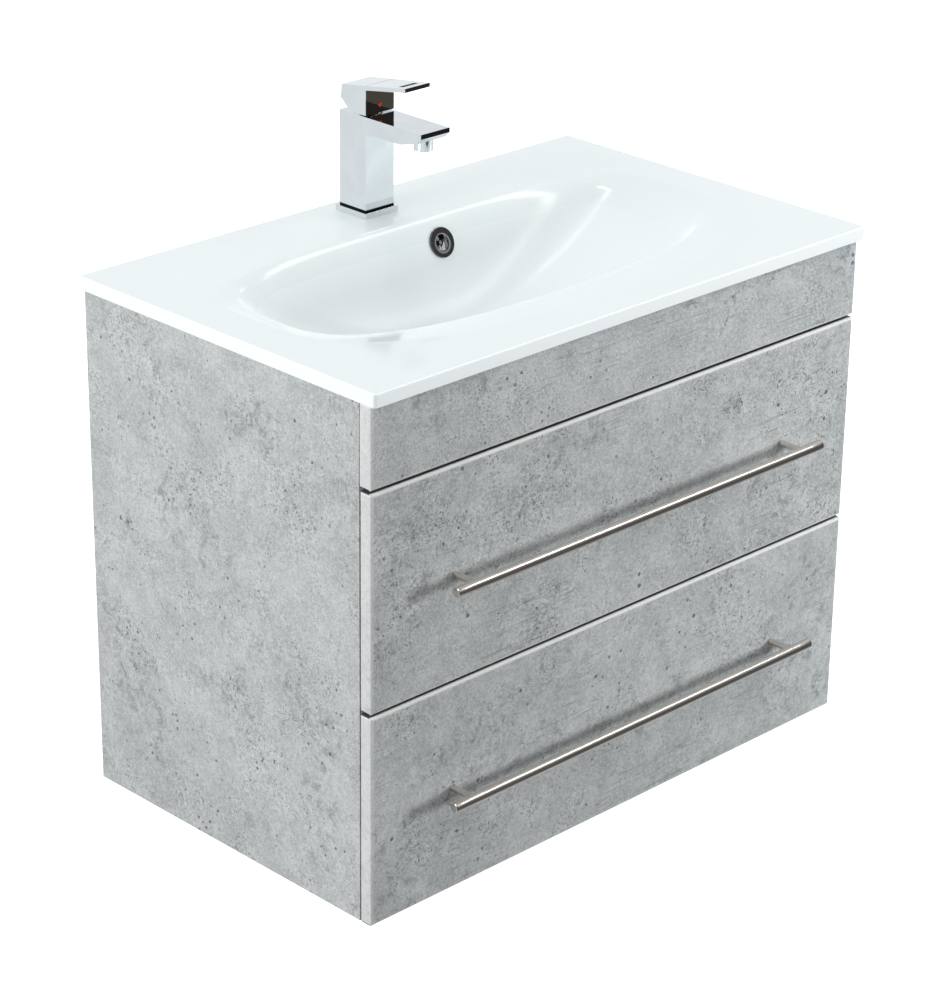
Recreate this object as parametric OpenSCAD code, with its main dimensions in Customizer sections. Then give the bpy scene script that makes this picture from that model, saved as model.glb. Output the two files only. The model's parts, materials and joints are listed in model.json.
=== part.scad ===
// Wall-hung bathroom vanity: two-drawer cabinet, ceramic basin and single-lever basin tap.
// X runs across the front, Y towards the wall, Z up. The wall is the plane y = 0, and the
// origin is the centre of the four screw holes of the two wall plates.

/* [Basin] */
// Width of the basin's deck
slab_w = 750; // [700:1:1000]
// Depth of the basin's deck, front edge to wall
slab_d = 465; // [440:1:560]
// Thickness of the deck's edge
slab_t = 15; // [13:0.5:20]
// Depth of the shallow dish at the bowl's lip
dish_depth = 8; // [5:0.5:9]
// Depth of the bowl's floor below the deck
bowl_depth = 110; // [95:1:120]
// Wall thickness of the ceramic bowl
bowl_wall = 10; // [8:0.5:12]
// Flat deck left at each end of the dish
rim_side = 50; // [40:1:80]
// Flat deck left in front of the dish
rim_front = 48; // [40:1:60]
// Flat deck left behind the bowl, where the tap stands
rim_back = 108; // [100:1:130]
// Offset of the overflow from the centre line
overflow_x = 45; // [0:1:60]
// Radius of the overflow's hole
overflow_r = 11; // [9:0.5:12]
// Radius of the waste hole
drain_r = 22.5; // [22:0.25:24]
// Radius of the tap hole
tap_hole_r = 17.5; // [17:0.25:18]
// Rounding of the deck's corners, seen from above
corner_r = 4; // [2:0.5:12]

/* [Carcass] */
// Overhang of the deck past each side panel
side_overhang = 3; // [1:0.5:10]
// Height of the side panels
carcass_h = 588; // [560:1:720]
// Thickness of the carcass boards
panel_t = 16; // [15:0.5:19]
// Gap between the carcass and the wall
wall_gap = 7; // [7:0.5:12]
// Depth the front faces stand back from the deck's front edge
front_recess = 8; // [4:0.5:20]
// Height of the upper rail that hangs the cabinet
hanging_rail_h = 90; // [80:1:120]
// Height of the lower back rail
lower_rail_h = 80; // [60:1:120]
// Height of the stretcher behind the fascia
stretcher_h = 60; // [50:1:75]

/* [Fronts] */
// Thickness of the drawer fronts
front_t = 16; // [15:0.5:19]
// Height of the fixed fascia
fascia_h = 91; // [85:1:120]
// Gap between fascia and fronts
front_gap = 3.5; // [2:0.25:5]
// Gap between drawer fronts and carcass, held by the bumpers
bumper_gap = 2; // [1.5:0.25:3]
// Gap behind the fascia
fascia_seam = 1; // [0.5:0.25:1.25]
// Rounding of the fronts' outer edges
front_round = 3; // [1:0.5:4]

/* [Handles] */
// Distance between the handle's posts
handle_pitch = 512; // [256:32:544]
// Length of the bar past each post
handle_end = 30; // [20:1:50]
// Diameter of the bar
handle_d = 12; // [10:0.5:14]
// Diameter of the posts
post_d = 8; // [7.5:0.5:10]
// Distance from the front to the bar's centre
handle_reach = 33; // [28:1:45]

/* [Drawer boxes] */
// Thickness of the drawer sides
box_t = 12; // [10:0.5:16]
// Thickness of the drawer bottoms
bottom_t = 8; // [5:0.5:10]
// Space between the drawer boxes and the back rails
box_back_gap = 33; // [20:1:60]
// Height of the box's lower edge above the front's lower edge
box_lift = 24; // [22:1:30]
// Height of the front's upper edge above the box's upper edge
box_drop = 36; // [34:1:60]
// Width of the recess round the waste, inside
recess_w = 200; // [160:1:240]
// Space in front of the waste's centre, inside the recess
recess_front = 63; // [50:1:90]

/* [Runners] */
// Space for a runner beside the drawer box
runner_space = 13; // [12.5:0.1:14]
// Height of the outer member
runner_h = 45; // [45:1:50]

/* [Tap] */
// Width of the square tap body
tap_w = 43; // [40:0.5:48]
// Height of the body's top above the deck
tap_h = 118; // [105:1:140]
// Reach of the spout in front of the body
spout_reach = 89.5; // [80:0.5:120]
// Margin of the base plate round the body
base_margin = 3.5; // [3:0.5:7]
// Thickness of the base plate
base_t = 7; // [5:0.5:9]
// Distance of the tap's centre from the wall
tap_back = 47; // [45:0.5:52]
// Length of the lever in front of the body's centre
lever_reach = 82.5; // [75:0.5:95]

/* [Wall fixing] */
// Distance between the two holes of a plate
plate_hole_pitch = 32; // [28:1:40]
// Radius of the wall plates' screw holes
plate_hole_r = 3.25; // [2.5:0.25:4]
// Drop from the carcass's top to the hole pattern's centre
hang_drop = 60; // [58:1:70]

/* [Hidden] */
$fn = 48;

carcass_w = slab_w - 2 * side_overhang;
fit = 0.2;      // clearance of fixed pieces that slot into each other
slack = 0.4;    // clearance of pieces that move past each other
eps = 0.01;     // overlap of cuts with the faces they pass

screw_r = 2;
screw_head_r = 4;
screw_head_t = 2.5;
screw_bite = 12;

// Levels
carcass_top = hang_drop;
carcass_bottom = carcass_top - carcass_h;
deck_z = carcass_top + slab_t;
inner_half = carcass_w / 2 - panel_t;

// Front to back
front_face_y = -slab_d + front_recess;
front_back_y = front_face_y + front_t;
carcass_front_y = front_back_y + bumper_gap;
carcass_back_y = -wall_gap;
rail_front_y = carcass_back_y - panel_t;

// Drawer fronts
fascia_bottom = carcass_top - fascia_h;
drawer_front_h = (carcass_h - fascia_h - 2 * front_gap) / 2;
upper_front_z = fascia_bottom - front_gap - drawer_front_h;
lower_front_z = carcass_bottom;

// Bowl: its rim stands 5 mm and its lip 58 mm inside the flat deck at the back and the front
bowl_y = -slab_d / 2 - 4.5;
dish_half_w = slab_w / 2 - rim_side;
dish_front = slab_d + bowl_y - rim_front;
dish_back = -bowl_y - rim_back;
lip_half_w = dish_half_w - 30;
lip_front = dish_front - 58;
lip_back = dish_back - 5;
floor_half_w = 60;
floor_front = 42;
floor_back = 60;
wall_curve = 0.6;       // how sharply the bowl's wall turns into its floor
squareness_front = 2.7; // superellipse exponents of the outline
squareness_back = 4.5;
outline_n = 64;
level_n = 8;
boss_r = 36;
boss_t = 14;
floor_z = deck_z - bowl_depth;
boss_z = floor_z - boss_t;

// Drawer boxes
box_half = inner_half - runner_space;
box_back_y = rail_front_y - box_back_gap;
box_h = drawer_front_h - box_lift - box_drop;
groove = 6;
groove_z = 10;
recess_front_y = bowl_y - recess_front;
recess_out_half = recess_w / 2 + box_t;

// Overflow, in the bowl's back wall, and its duct
overflow_depth = 30;
wall_h = bowl_depth - dish_depth;
wall_run = lip_back - floor_back;
wall_share = (overflow_depth - dish_depth) / wall_h;
overflow_back = floor_back + wall_run * pow(1 - wall_share, wall_curve);
wall_slope = wall_curve * pow(1 - wall_share, wall_curve - 1) * wall_run / wall_h;
wall_tilt = atan(wall_slope);
overflow_at = [overflow_x, bowl_y + overflow_back, deck_z - overflow_depth];
ring_r = 17.5;
ring_t = 2.5;
duct_w = 34;
duct_t = 14;
duct_skin = 4;
duct_back_y = bowl_y + lip_back + duct_t + 2 * duct_skin;

// Waste
thread_r = 20.95;
flange_r = 32;
flange_t = 3;
waste_l = 85;
waste_bore_r = 18;
waste_top = floor_z + flange_t;
waste_end = waste_top - waste_l;
seal_t = 3;
lock_nut_h = 9;
relief_z = boss_z - seal_t - lock_nut_h - 3;
relief_h = 1.5;
relief_depth = 0.75;
plug_r = 29;
plug_t = 4;
plug_lift = 8;

// Tap, placed by the centre of its base on the deck
tap_at = [0, -tap_back, deck_z];
half_tap = tap_w / 2;
spout_t = 19.5;
spout_tip_t = 5;
spout_flat = 55.5;
base_w = tap_w + 2 * base_margin;
cartridge_r = half_tap - 4;
cartridge_seat = tap_h - 42;
cartridge_top = tap_h - 9.5;
channel_z = tap_h - 13.5;
channel_r = 3.5;
collar_r = cartridge_r - 1.5;
collar_bore_r = collar_r - 3;
turret_r = collar_bore_r - 0.5;
turret_t = 1.5;
ear_t = 3;
pivot_z = tap_h - 1.5;
pivot_y = collar_bore_r - 9;
pin_r = 1.5;
running = 0.05;
lever_gap = 1.5;
stem_w = 9;
stem_low = pivot_z - 4;
stem_top = tap_h + 22;
aerator_r = 12;
aerator_y = -92;
aerator_low = tap_h - 25;
port_r = 4.5;
port_x = 8.5;
port_y = -5;
port_l = 18;
stud_r = 4;
stud_y = 11;
stud_in = 15;
stud_out = 43;
clamp_gap = 1;
clamp_r = tap_back + rail_front_y - clamp_gap;
clamp_t = 4;

// Hangers and wall plates
plate_w = 60;
plate_x = inner_half - 26;
plate_t = 2.5;
plate_low = -26;
lip_low = 26;
lip_high = 44;
hook_t = 2.5;
hook_w = 14;
hook_x = inner_half - 11;
hook_drop = 10;
housing_w = 19;
housing_l = 52;
housing_low = 0;
housing_front_y = rail_front_y - housing_l;
housing_screw_z = [10, 24];
slot_margin = 3;

// Runner positions and section
upper_runner_z = upper_front_z + box_lift + 60;
lower_runner_z = lower_front_z + box_lift + 60;
runner_front_y = carcass_front_y + 3;
runner_l = 50 * floor((box_back_y - runner_front_y) / 50);
sheet_t = 1.2;

// Cam joints: [y, z, faces the front (true) or up (false)], mirrored to both sides
cam_r = 7.5;
cam_depth = 12;
cam_inset = 34;
bolt_r = 3;
bolt_in = 10;
cam_joints = [
    [carcass_front_y + 50, carcass_bottom + panel_t / 2, false],
    [rail_front_y - 60, carcass_bottom + panel_t / 2, false],
    [carcass_back_y - panel_t / 2, carcass_top - hanging_rail_h + 20, true],
    [carcass_back_y - panel_t / 2, carcass_bottom + lower_rail_h - 20, true],
    [carcass_front_y + panel_t / 2, carcass_top - stretcher_h / 2, true]];

concrete = [0.66, 0.68, 0.69];
white_board = [0.88, 0.88, 0.87];
chrome = [0.86, 0.87, 0.88];
steel = [0.72, 0.7, 0.67];
zinc = [0.75, 0.76, 0.78];
rubber = [0.12, 0.12, 0.12];
ceramic = [0.95, 0.97, 0.97];

// ---------------------------------------------------------------- helpers

// Box between two opposite corners.
module block(lo, hi) {
    translate(lo) cube(hi - lo);
}

// The child and its mirror image in the plane x = 0.
module both_sides() {
    for (side = [-1, 1]) scale_x(side) children();
}

module scale_x(side) {
    if (side < 0) mirror([1, 0, 0]) children();
    else children();
}

// Extrudes a profile drawn as [y, z] along X, from x0 to x1.
module along_x(x0, x1) {
    translate([x0, 0, 0]) rotate([90, 0, 90]) linear_extrude(x1 - x0) children();
}

// Extrudes a profile drawn as [x, z] along Y, from y0 to y1.
module along_y(y0, y1) {
    translate([0, y1, 0]) rotate([90, 0, 0]) linear_extrude(y1 - y0) children();
}

// Cylinder along X from x0 to x1 at [y, z].
module rod_x(x0, x1, y, z, r) {
    translate([x0, y, z]) rotate([0, 90, 0]) cylinder(r = r, h = x1 - x0);
}

// Cylinder along Y from y0 to y1 at [x, z].
module rod_y(y0, y1, x, z, r) {
    translate([x, y0, z]) rotate([-90, 0, 0]) cylinder(r = r, h = y1 - y0);
}

// Rectangle from [0, 0] to [w, h] with its two corners at y = 0 rounded.
module rounded_front_2d(w, h, r) {
    translate([0, r]) square([w, h - r]);
    translate([r, 0]) square([w - 2 * r, r + eps]);
    for (x = [r, w - r]) translate([x, r]) circle(r);
}

// Board whose front face has all four edges rounded, standing on z0.
module fronted_board(w, h, t, r, y0, z0) {
    translate([-w / 2, y0, z0]) intersection() {
        linear_extrude(h) rounded_front_2d(w, t, r);
        mirror([0, 0, 1]) rotate([0, 90, 0]) linear_extrude(w) rounded_front_2d(h, t, r);
    }
}

// ---------------------------------------------------------------- carcass

module cam_disc(y, z, to_front, grow) {
    x = inner_half - cam_inset;
    face = panel_t / 2;
    if (to_front) rod_y(y - face - grow, y - face + cam_depth + grow, x, z, cam_r + grow);
    else translate([x, y, z + face - cam_depth - grow])
        cylinder(r = cam_r + grow, h = cam_depth + 2 * grow);
}

module cam_bolt(y, z, grow) {
    rod_x(inner_half - cam_inset + cam_r + fit - grow, inner_half + bolt_in + grow, y, z, bolt_r + grow);
}

// Everything that the cam joints cut out of the boards.
module cam_cuts() {
    both_sides() for (j = cam_joints) {
        cam_disc(j[0], j[1], j[2], fit);
        cam_bolt(j[0], j[1], fit);
    }
}

module side_panel(side) {
    color(concrete) difference() {
        scale_x(side) block([inner_half, carcass_front_y, carcass_bottom],
            [carcass_w / 2, carcass_back_y, carcass_top]);
        cam_cuts();
    }
}

module bottom_panel() {
    color(concrete) difference() {
        block([-inner_half, carcass_front_y, carcass_bottom],
            [inner_half, rail_front_y, carcass_bottom + panel_t]);
        cam_cuts();
    }
}

module hanging_rail() {
    slot_x = hook_w / 2 + slot_margin;
    color(concrete) difference() {
        block([-inner_half, rail_front_y, carcass_top - hanging_rail_h],
            [inner_half, carcass_back_y, carcass_top]);
        both_sides() block([hook_x - slot_x, rail_front_y - 1, lip_high - slot_margin],
            [inner_half + 1, carcass_back_y + 1, lip_high + hook_t + slot_margin]);
        cam_cuts();
    }
}

module lower_back_rail() {
    color(concrete) difference() {
        block([-inner_half, rail_front_y, carcass_bottom],
            [inner_half, carcass_back_y, carcass_bottom + lower_rail_h]);
        cam_cuts();
    }
}

module front_stretcher() {
    color(concrete) difference() {
        block([-inner_half, carcass_front_y, carcass_top - stretcher_h],
            [inner_half, carcass_front_y + panel_t, carcass_top]);
        at_fascia_screws() rod_y(carcass_front_y - 1, carcass_front_y + panel_t + 1, 0, 0, screw_r + fit);
        cam_cuts();
    }
}

// Four places across the stretcher's middle height.
module at_fascia_screws() {
    for (share = [-0.8, -0.27, 0.27, 0.8])
        translate([share * inner_half, 0, carcass_top - stretcher_h / 2]) children();
}

module fascia_panel() {
    color(concrete) difference() {
        fronted_board(carcass_w, fascia_h, front_t + bumper_gap - fascia_seam,
            front_round, front_face_y, fascia_bottom);
        at_fascia_screws() rod_y(carcass_front_y - screw_bite, carcass_front_y, 0, 0, screw_r + 0.02);
    }
}

module fascia_screws() {
    head_y = carcass_front_y + panel_t;
    color(zinc) at_fascia_screws() union() {
        rod_y(carcass_front_y - screw_bite + 1, head_y + 1, 0, 0, screw_r);
        rod_y(head_y + 0.05, head_y + screw_head_t, 0, 0, screw_head_r);
    }
}

module cam_discs() {
    color(zinc) both_sides() for (j = cam_joints) cam_disc(j[0], j[1], j[2], 0);
}

module cam_bolts() {
    color(zinc) both_sides() for (j = cam_joints) cam_bolt(j[0], j[1], 0);
}

// Soft pads that the drawer fronts close against.
module front_bumpers() {
    pad_r = 4;
    pad_t = bumper_gap - 0.5;
    pad_in = 25;
    color([0.9, 0.9, 0.88]) both_sides() for (z0 = [upper_front_z, lower_front_z])
        for (z = [z0 + pad_in, z0 + drawer_front_h - pad_in])
            rod_y(carcass_front_y - pad_t, carcass_front_y, carcass_w / 2 - panel_t / 2, z, pad_r);
}

// ---------------------------------------------------------------- hangers and wall plates

module hanger_housings() {
    low = housing_low;
    high = lip_high + hook_t + 6;
    color(zinc) both_sides() difference() {
        block([inner_half - housing_w, housing_front_y, low], [inner_half, rail_front_y, high]);
        block([hook_x - hook_w / 2 - fit, housing_front_y + 6, lip_high - 12],
            [hook_x + hook_w / 2 + fit, rail_front_y + 1, lip_high + hook_t + fit]);
        for (z = housing_screw_z)
            rod_y(housing_front_y - 1, housing_front_y + 16, hook_x, z, 3.5);
    }
}

module hanger_hooks() {
    tip_back = -0.7;
    color(zinc) both_sides() union() {
        block([hook_x - hook_w / 2, housing_front_y + 8, lip_high + fit],
            [hook_x + hook_w / 2, tip_back, lip_high + hook_t]);
        block([hook_x - hook_w / 2, tip_back - hook_t, lip_high - hook_drop],
            [hook_x + hook_w / 2, tip_back, lip_high + hook_t]);
    }
}

module hanger_screws() {
    slot = [0.6, 2.4];
    color(zinc) both_sides() for (z = housing_screw_z) difference() {
        rod_y(housing_front_y, housing_front_y + 15, hook_x, z, 3.2);
        block([hook_x - slot[0], housing_front_y - 1, z - slot[1]],
            [hook_x + slot[0], housing_front_y + 1.5, z + slot[1]]);
    }
}

module wall_plates() {
    lip_y = -wall_gap + 0.8;
    color(zinc) both_sides() translate([plate_x, 0, 0]) difference() {
        union() {
            block([-plate_w / 2, -plate_t, plate_low], [plate_w / 2, 0, lip_low]);
            block([-plate_w / 2, lip_y, lip_low - plate_t], [plate_w / 2, 0, lip_low]);
            block([-plate_w / 2, lip_y, lip_low - plate_t], [plate_w / 2, lip_y + plate_t, lip_high]);
        }
        for (z = [-1, 1] * plate_hole_pitch / 2) rod_y(-plate_t - 1, 1, 0, z, plate_hole_r);
    }
}

// ---------------------------------------------------------------- basin

// Superellipse with its own reach to the front and to the back, as points at height z.
function outline(z, half_w, reach_front, reach_back) = [
    for (i = [0 : outline_n - 1])
        let (a = i * 360 / outline_n)
        let (n = sin(a) < 0 ? squareness_front : squareness_back)
        let (reach = sin(a) < 0 ? reach_front : reach_back)
        [half_w * signed_pow(cos(a), 2 / n), bowl_y + reach * signed_pow(sin(a), 2 / n), z]];

function signed_pow(x, p) = sign(x) * pow(abs(x), p);

// Outlines of the bowl's wall from the lip (share 1) to the floor's edge (share 0).
function bowl_outlines(grow) = [
    for (i = [0 : level_n])
        let (share = 1 - i / level_n)
        let (depth = dish_depth + (bowl_depth - dish_depth) * (1 - pow(share, 1 / wall_curve)))
        outline(deck_z - depth - grow,
            floor_half_w + grow + (lip_half_w - floor_half_w) * share,
            floor_front + grow + (lip_front - floor_front) * share,
            floor_back + grow + (lip_back - floor_back) * share)];

// Closed body through a list of outlines, the highest first.
module loft(rings) {
    n = outline_n;
    last = len(rings) - 1;
    sides = [for (k = [0 : last - 1], i = [0 : n - 1], half = [0, 1])
        let (a = k * n + i)
        let (b = k * n + (i + 1) % n)
        half == 0 ? [a, b, b + n] : [a, b + n, a + n]];
    top = [for (i = [0 : n - 1]) n - 1 - i];
    bottom = [for (i = [0 : n - 1]) last * n + i];
    polyhedron(points = [for (ring = rings) each ring], faces = concat(sides, [top, bottom]));
}

module bowl_cavity() {
    loft(concat([outline(deck_z + 5, dish_half_w, dish_front, dish_back),
        outline(deck_z, dish_half_w, dish_front, dish_back)], bowl_outlines(0)));
}

module bowl_shell() {
    g = bowl_wall;
    collar = outline(deck_z - slab_t + 3, lip_half_w + g, lip_front + g, lip_back + g);
    loft(concat([collar], bowl_outlines(g)));
}

// Places children on the bowl's back wall at the overflow, +Z into the bowl.
module at_overflow() {
    translate(overflow_at) rotate([90 - wall_tilt, 0, 0]) children();
}

// Water duct down behind the bowl and forward to the waste, each side moved in by skin.
module overflow_duct(skin) {
    x0 = overflow_x - duct_w / 2 + skin;
    x1 = overflow_x + duct_w / 2 - skin;
    front = bowl_y + lip_back;
    half = duct_w / 2 - skin;
    run_top = boss_z + duct_t - skin / 2;
    block([x0, front + skin, boss_z + skin], [x1, duct_back_y - skin, deck_z - slab_t + 2 - 2 * skin]);
    block([x0, bowl_y, boss_z + skin], [x1, duct_back_y - skin, run_top]);
    block([0, bowl_y - half, boss_z + skin], [x1, bowl_y + half, run_top]);
}

module deck_2d() {
    x = slab_w / 2;
    translate([-x + corner_r, -slab_d]) square([slab_w - 2 * corner_r, slab_d]);
    translate([-x, -slab_d + corner_r]) square([slab_w, slab_d - 2 * corner_r]);
    for (cx = [corner_r - x, x - corner_r], cy = [corner_r - slab_d, -corner_r])
        translate([cx, cy]) circle(corner_r);
}

module basin() {
    color(ceramic) difference() {
        union() {
            translate([0, 0, deck_z - slab_t]) linear_extrude(slab_t) deck_2d();
            bowl_shell();
            translate([0, bowl_y, boss_z]) cylinder(r = boss_r, h = boss_t);
            overflow_duct(0);
        }
        bowl_cavity();
        overflow_duct(duct_skin);
        at_overflow() translate([0, 0, -duct_skin - 16]) cylinder(r = overflow_r, h = 40);
        at_overflow() cylinder(r = ring_r + fit, h = 12);
        translate([0, bowl_y, boss_z - 1]) cylinder(r = drain_r, h = boss_t + 5);
        translate([0, -tap_back, deck_z - slab_t - 1]) cylinder(r = tap_hole_r, h = slab_t + 2);
    }
}

module overflow_ring() {
    color(chrome) at_overflow() difference() {
        union() {
            translate([0, 0, 0.1]) cylinder(r = ring_r, h = ring_t);
            translate([0, 0, -8]) cylinder(r = overflow_r - fit, h = 9);
        }
        translate([0, 0, -6.5]) cylinder(r = overflow_r - 1.4, h = 20);
        for (a = [0 : 60 : 300]) rotate(a) translate([overflow_r * 0.5, 0, -10]) cylinder(r = 2.4, h = 10);
    }
}

// ---------------------------------------------------------------- waste

module waste_body() {
    color(chrome) translate([0, bowl_y, 0]) difference() {
        union() {
            translate([0, 0, floor_z + 0.1]) cylinder(r = flange_r, h = flange_t);
            translate([0, 0, waste_end]) cylinder(r = thread_r, h = relief_z - waste_end);
            translate([0, 0, relief_z - 1]) cylinder(r = thread_r - relief_depth, h = relief_h + 2);
            translate([0, 0, relief_z + relief_h]) cylinder(r = thread_r, h = waste_top - relief_z - relief_h - 1);
        }
        translate([0, 0, waste_end - 1]) cylinder(r = waste_bore_r, h = waste_l + 10);
        translate([0, 0, floor_z + 1]) cylinder(r1 = waste_bore_r, r2 = plug_r - 1, h = flange_t);
        for (a = [0 : 90 : 270]) rotate(a) rod_x(0, 30, 0, boss_z + duct_t / 2, 3.5);
    }
}

module waste_click_unit() {
    hub_r = 7;
    arm_in = 5.5;
    z0 = floor_z - 34;
    color([0.85, 0.85, 0.83]) translate([0, bowl_y, 0]) difference() {
        union() {
            translate([0, 0, z0]) cylinder(r = hub_r, h = 26);
            for (a = [0 : 120 : 240]) rotate(a)
                block([arm_in, -1.5, z0 + 1], [waste_bore_r - 0.5, 1.5, z0 + 5]);
        }
        translate([0, 0, z0 + 6]) cylinder(r = 4.05, h = 40);
    }
}

module waste_plug() {
    color(chrome) translate([0, bowl_y, 0]) union() {
        translate([0, 0, waste_top + plug_lift]) cylinder(r = plug_r, h = plug_t);
        translate([0, 0, floor_z - 18]) cylinder(r = 4, h = 18 + flange_t + plug_lift + 1);
    }
}

module waste_seals() {
    color(rubber) translate([0, bowl_y, boss_z - seal_t - 0.05]) difference() {
        cylinder(r = 29, h = seal_t);
        translate([0, 0, -1]) cylinder(r = thread_r + 0.1, h = seal_t + 2);
    }
}

module waste_lock_nut() {
    color(zinc) translate([0, bowl_y, boss_z - seal_t - lock_nut_h - 0.1]) difference() {
        union() {
            cylinder(r = 28, h = lock_nut_h, $fn = 8);
            translate([0, 0, lock_nut_h - 2]) cylinder(r = 29.5, h = 2);
        }
        translate([0, 0, -1]) cylinder(r = thread_r + 0.05, h = lock_nut_h + 2);
    }
}

// ---------------------------------------------------------------- tap

module at_tap() {
    translate(tap_at) children();
}

module tap_base_plate() {
    color(chrome) at_tap() difference() {
        block([-base_w / 2, -base_w / 2, 0.05], [base_w / 2, base_w / 2, base_t]);
        translate([0, 0, -1]) cylinder(r = tap_hole_r - 1.5, h = base_t + 2);
        translate([0, 0, -1]) cylinder(r = 21, h = 2.5);
    }
}

module tap_base_seal() {
    color(rubber) at_tap() translate([0, 0, 0.05]) difference() {
        cylinder(r = 20.8, h = 1.4);
        translate([0, 0, -1]) cylinder(r = tap_hole_r - 1.5, h = 4);
    }
}

module tap_body() {
    spout_y = -half_tap - spout_reach;
    color(chrome) at_tap() difference() {
        along_x(-half_tap, half_tap) polygon([
            [-half_tap, base_t + 0.05], [half_tap, base_t + 0.05], [half_tap, tap_h], [spout_y, tap_h],
            [spout_y, tap_h - spout_tip_t], [spout_y + 6, tap_h - spout_tip_t - 6.5],
            [-half_tap - spout_flat, tap_h - spout_t + 0.8], [-half_tap, tap_h - spout_t]]);
        translate([0, 0, cartridge_seat]) cylinder(r = cartridge_r + fit, h = 60);
        rod_y(aerator_y, 0, 0, channel_z, channel_r);
        translate([0, aerator_y, 0]) cylinder(r = aerator_r - 1, h = channel_z + 4);
        for (x = [-port_x, port_x]) translate([x, port_y, 0]) cylinder(r = port_r, h = base_t + port_l);
        for (x = [-port_x, port_x]) translate([x, port_y, 0]) cylinder(r = 3, h = cartridge_seat + 1);
        translate([0, stud_y, 0]) cylinder(r = stud_r + 0.05, h = base_t + stud_in);
    }
}

module tap_cartridge() {
    color([0.2, 0.2, 0.22]) at_tap() difference() {
        translate([0, 0, cartridge_seat + 0.1])
            cylinder(r = cartridge_r, h = cartridge_top - cartridge_seat - 0.1);
        for (x = [-port_x, port_x]) translate([x, port_y, 0]) cylinder(r = 3, h = cartridge_seat + 8);
        rod_y(-cartridge_r - 1, -cartridge_r + 7, 0, channel_z, channel_r);
    }
}

module tap_cartridge_collar() {
    low = cartridge_top + fit;
    color([0.8, 0.8, 0.78]) at_tap() difference() {
        translate([0, 0, low]) cylinder(r = collar_r, h = tap_h - low);
        translate([0, 0, low - 1]) cylinder(r = collar_bore_r, h = tap_h);
    }
}

// Disc that turns in the collar, with two ears for the stem's pivot.
module tap_turret() {
    low = cartridge_top + slack;
    ear_in = stem_w / 2 + slack;
    color([0.85, 0.83, 0.78]) at_tap() difference() {
        intersection() {
            translate([0, 0, low]) cylinder(r = turret_r, h = 30);
            union() {
                translate([0, 0, low]) cylinder(r = turret_r, h = turret_t);
                both_sides() block([ear_in, pivot_y - 4, low], [ear_in + ear_t, pivot_y + 4, pivot_z + 2]);
            }
        }
        rod_x(-20, 20, pivot_y, pivot_z, pin_r + running);
    }
}

module tap_pivot_pin() {
    reach = stem_w / 2 + slack + ear_t - 0.5;
    color(zinc) at_tap() rod_x(-reach, reach, pivot_y, pivot_z, pin_r);
}

module tap_stem() {
    half = stem_w / 2;
    color(zinc) at_tap() difference() {
        block([-half, pivot_y - half, stem_low], [half, pivot_y + half, stem_top]);
        rod_x(-20, 20, pivot_y, pivot_z, pin_r + running);
    }
}

// Lever: a block over the cartridge with a plate rising to the front.
module tap_lever() {
    low = tap_h + lever_gap;
    tip = -lever_reach;
    tip_half = half_tap - 3;
    socket = stem_w / 2 + 0.1;
    color(chrome) at_tap() difference() {
        intersection() {
            along_x(-half_tap, half_tap) polygon([
                [-half_tap, low], [pivot_y, low], [half_tap - 2, low + 13], [half_tap - 3.5, low + 28.5],
                [tip, low + 43.7], [tip + 0.5, low + 39], [-half_tap, low + 29.3]]);
            linear_extrude(tap_h * 2) polygon([
                [-half_tap, half_tap], [-half_tap, -half_tap], [-tip_half, tip],
                [tip_half, tip], [half_tap, -half_tap], [half_tap, half_tap]]);
        }
        block([-socket, pivot_y - socket, low - 1], [socket, pivot_y + socket, stem_top + 0.1]);
        block([-12, tip + 11, low + 20], [12, tip + 19, low + 60]);
        rod_y(-half_tap - 1, pivot_y - stem_w / 2, 0, low + 9, 2.6);
    }
}

module tap_index_button() {
    color([0.75, 0.1, 0.08]) at_tap() rod_y(-half_tap - 0.4, -half_tap + 4, 0, tap_h + lever_gap + 9, 2.5);
}

module tap_aerator() {
    color(chrome) at_tap() translate([0, aerator_y, 0]) difference() {
        translate([0, 0, aerator_low]) cylinder(r = aerator_r - 1.1, h = 14);
        translate([0, 0, aerator_low - 1]) cylinder(r = aerator_r - 2.6, h = 3);
        for (a = [0 : 60 : 300])
            rotate(a) translate([5, 0, aerator_low - 1]) cylinder(r = 1.6, h = 20);
        translate([0, 0, aerator_low - 1]) cylinder(r = 1.6, h = 20);
    }
}

module tap_fixing_stud() {
    color(zinc) at_tap() translate([0, stud_y, -stud_out]) cylinder(r = stud_r, h = stud_out + stud_in + base_t);
}

module tap_clamp_washer() {
    color(zinc) at_tap() translate([0, 0, -slab_t - clamp_t - 0.05]) difference() {
        cylinder(r = clamp_r, h = clamp_t);
        block([-tap_hole_r + 2, -clamp_r - 1, -1], [tap_hole_r - 2, 4, clamp_t + 1]);
        translate([0, stud_y, -1]) cylinder(r = stud_r + fit, h = clamp_t + 2);
    }
}

module tap_fixing_nut() {
    nut_h = 16;
    color([0.8, 0.65, 0.35]) at_tap() translate([0, stud_y, -slab_t - clamp_t - nut_h - 0.1]) difference() {
        cylinder(r = 7, h = nut_h, $fn = 6);
        translate([0, 0, -1]) cylinder(r = stud_r + 0.05, h = nut_h + 2);
    }
}

// ---------------------------------------------------------------- drawers

module drawer_front(z0) {
    color(concrete) difference() {
        fronted_board(carcass_w, drawer_front_h, front_t, front_round, front_face_y, z0);
        both_sides() rod_y(front_face_y - 1, front_back_y + 1, handle_pitch / 2,
            z0 + drawer_front_h / 2, screw_r + 0.25);
    }
}

module handle_bar(z0) {
    z = z0 + drawer_front_h / 2;
    y = front_face_y - handle_reach;
    color(steel) difference() {
        rod_x(-handle_pitch / 2 - handle_end, handle_pitch / 2 + handle_end, y, z, handle_d / 2);
        both_sides() rod_y(y - 2, y + handle_d, handle_pitch / 2, z, post_d / 2 - 1.5);
    }
}

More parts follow.
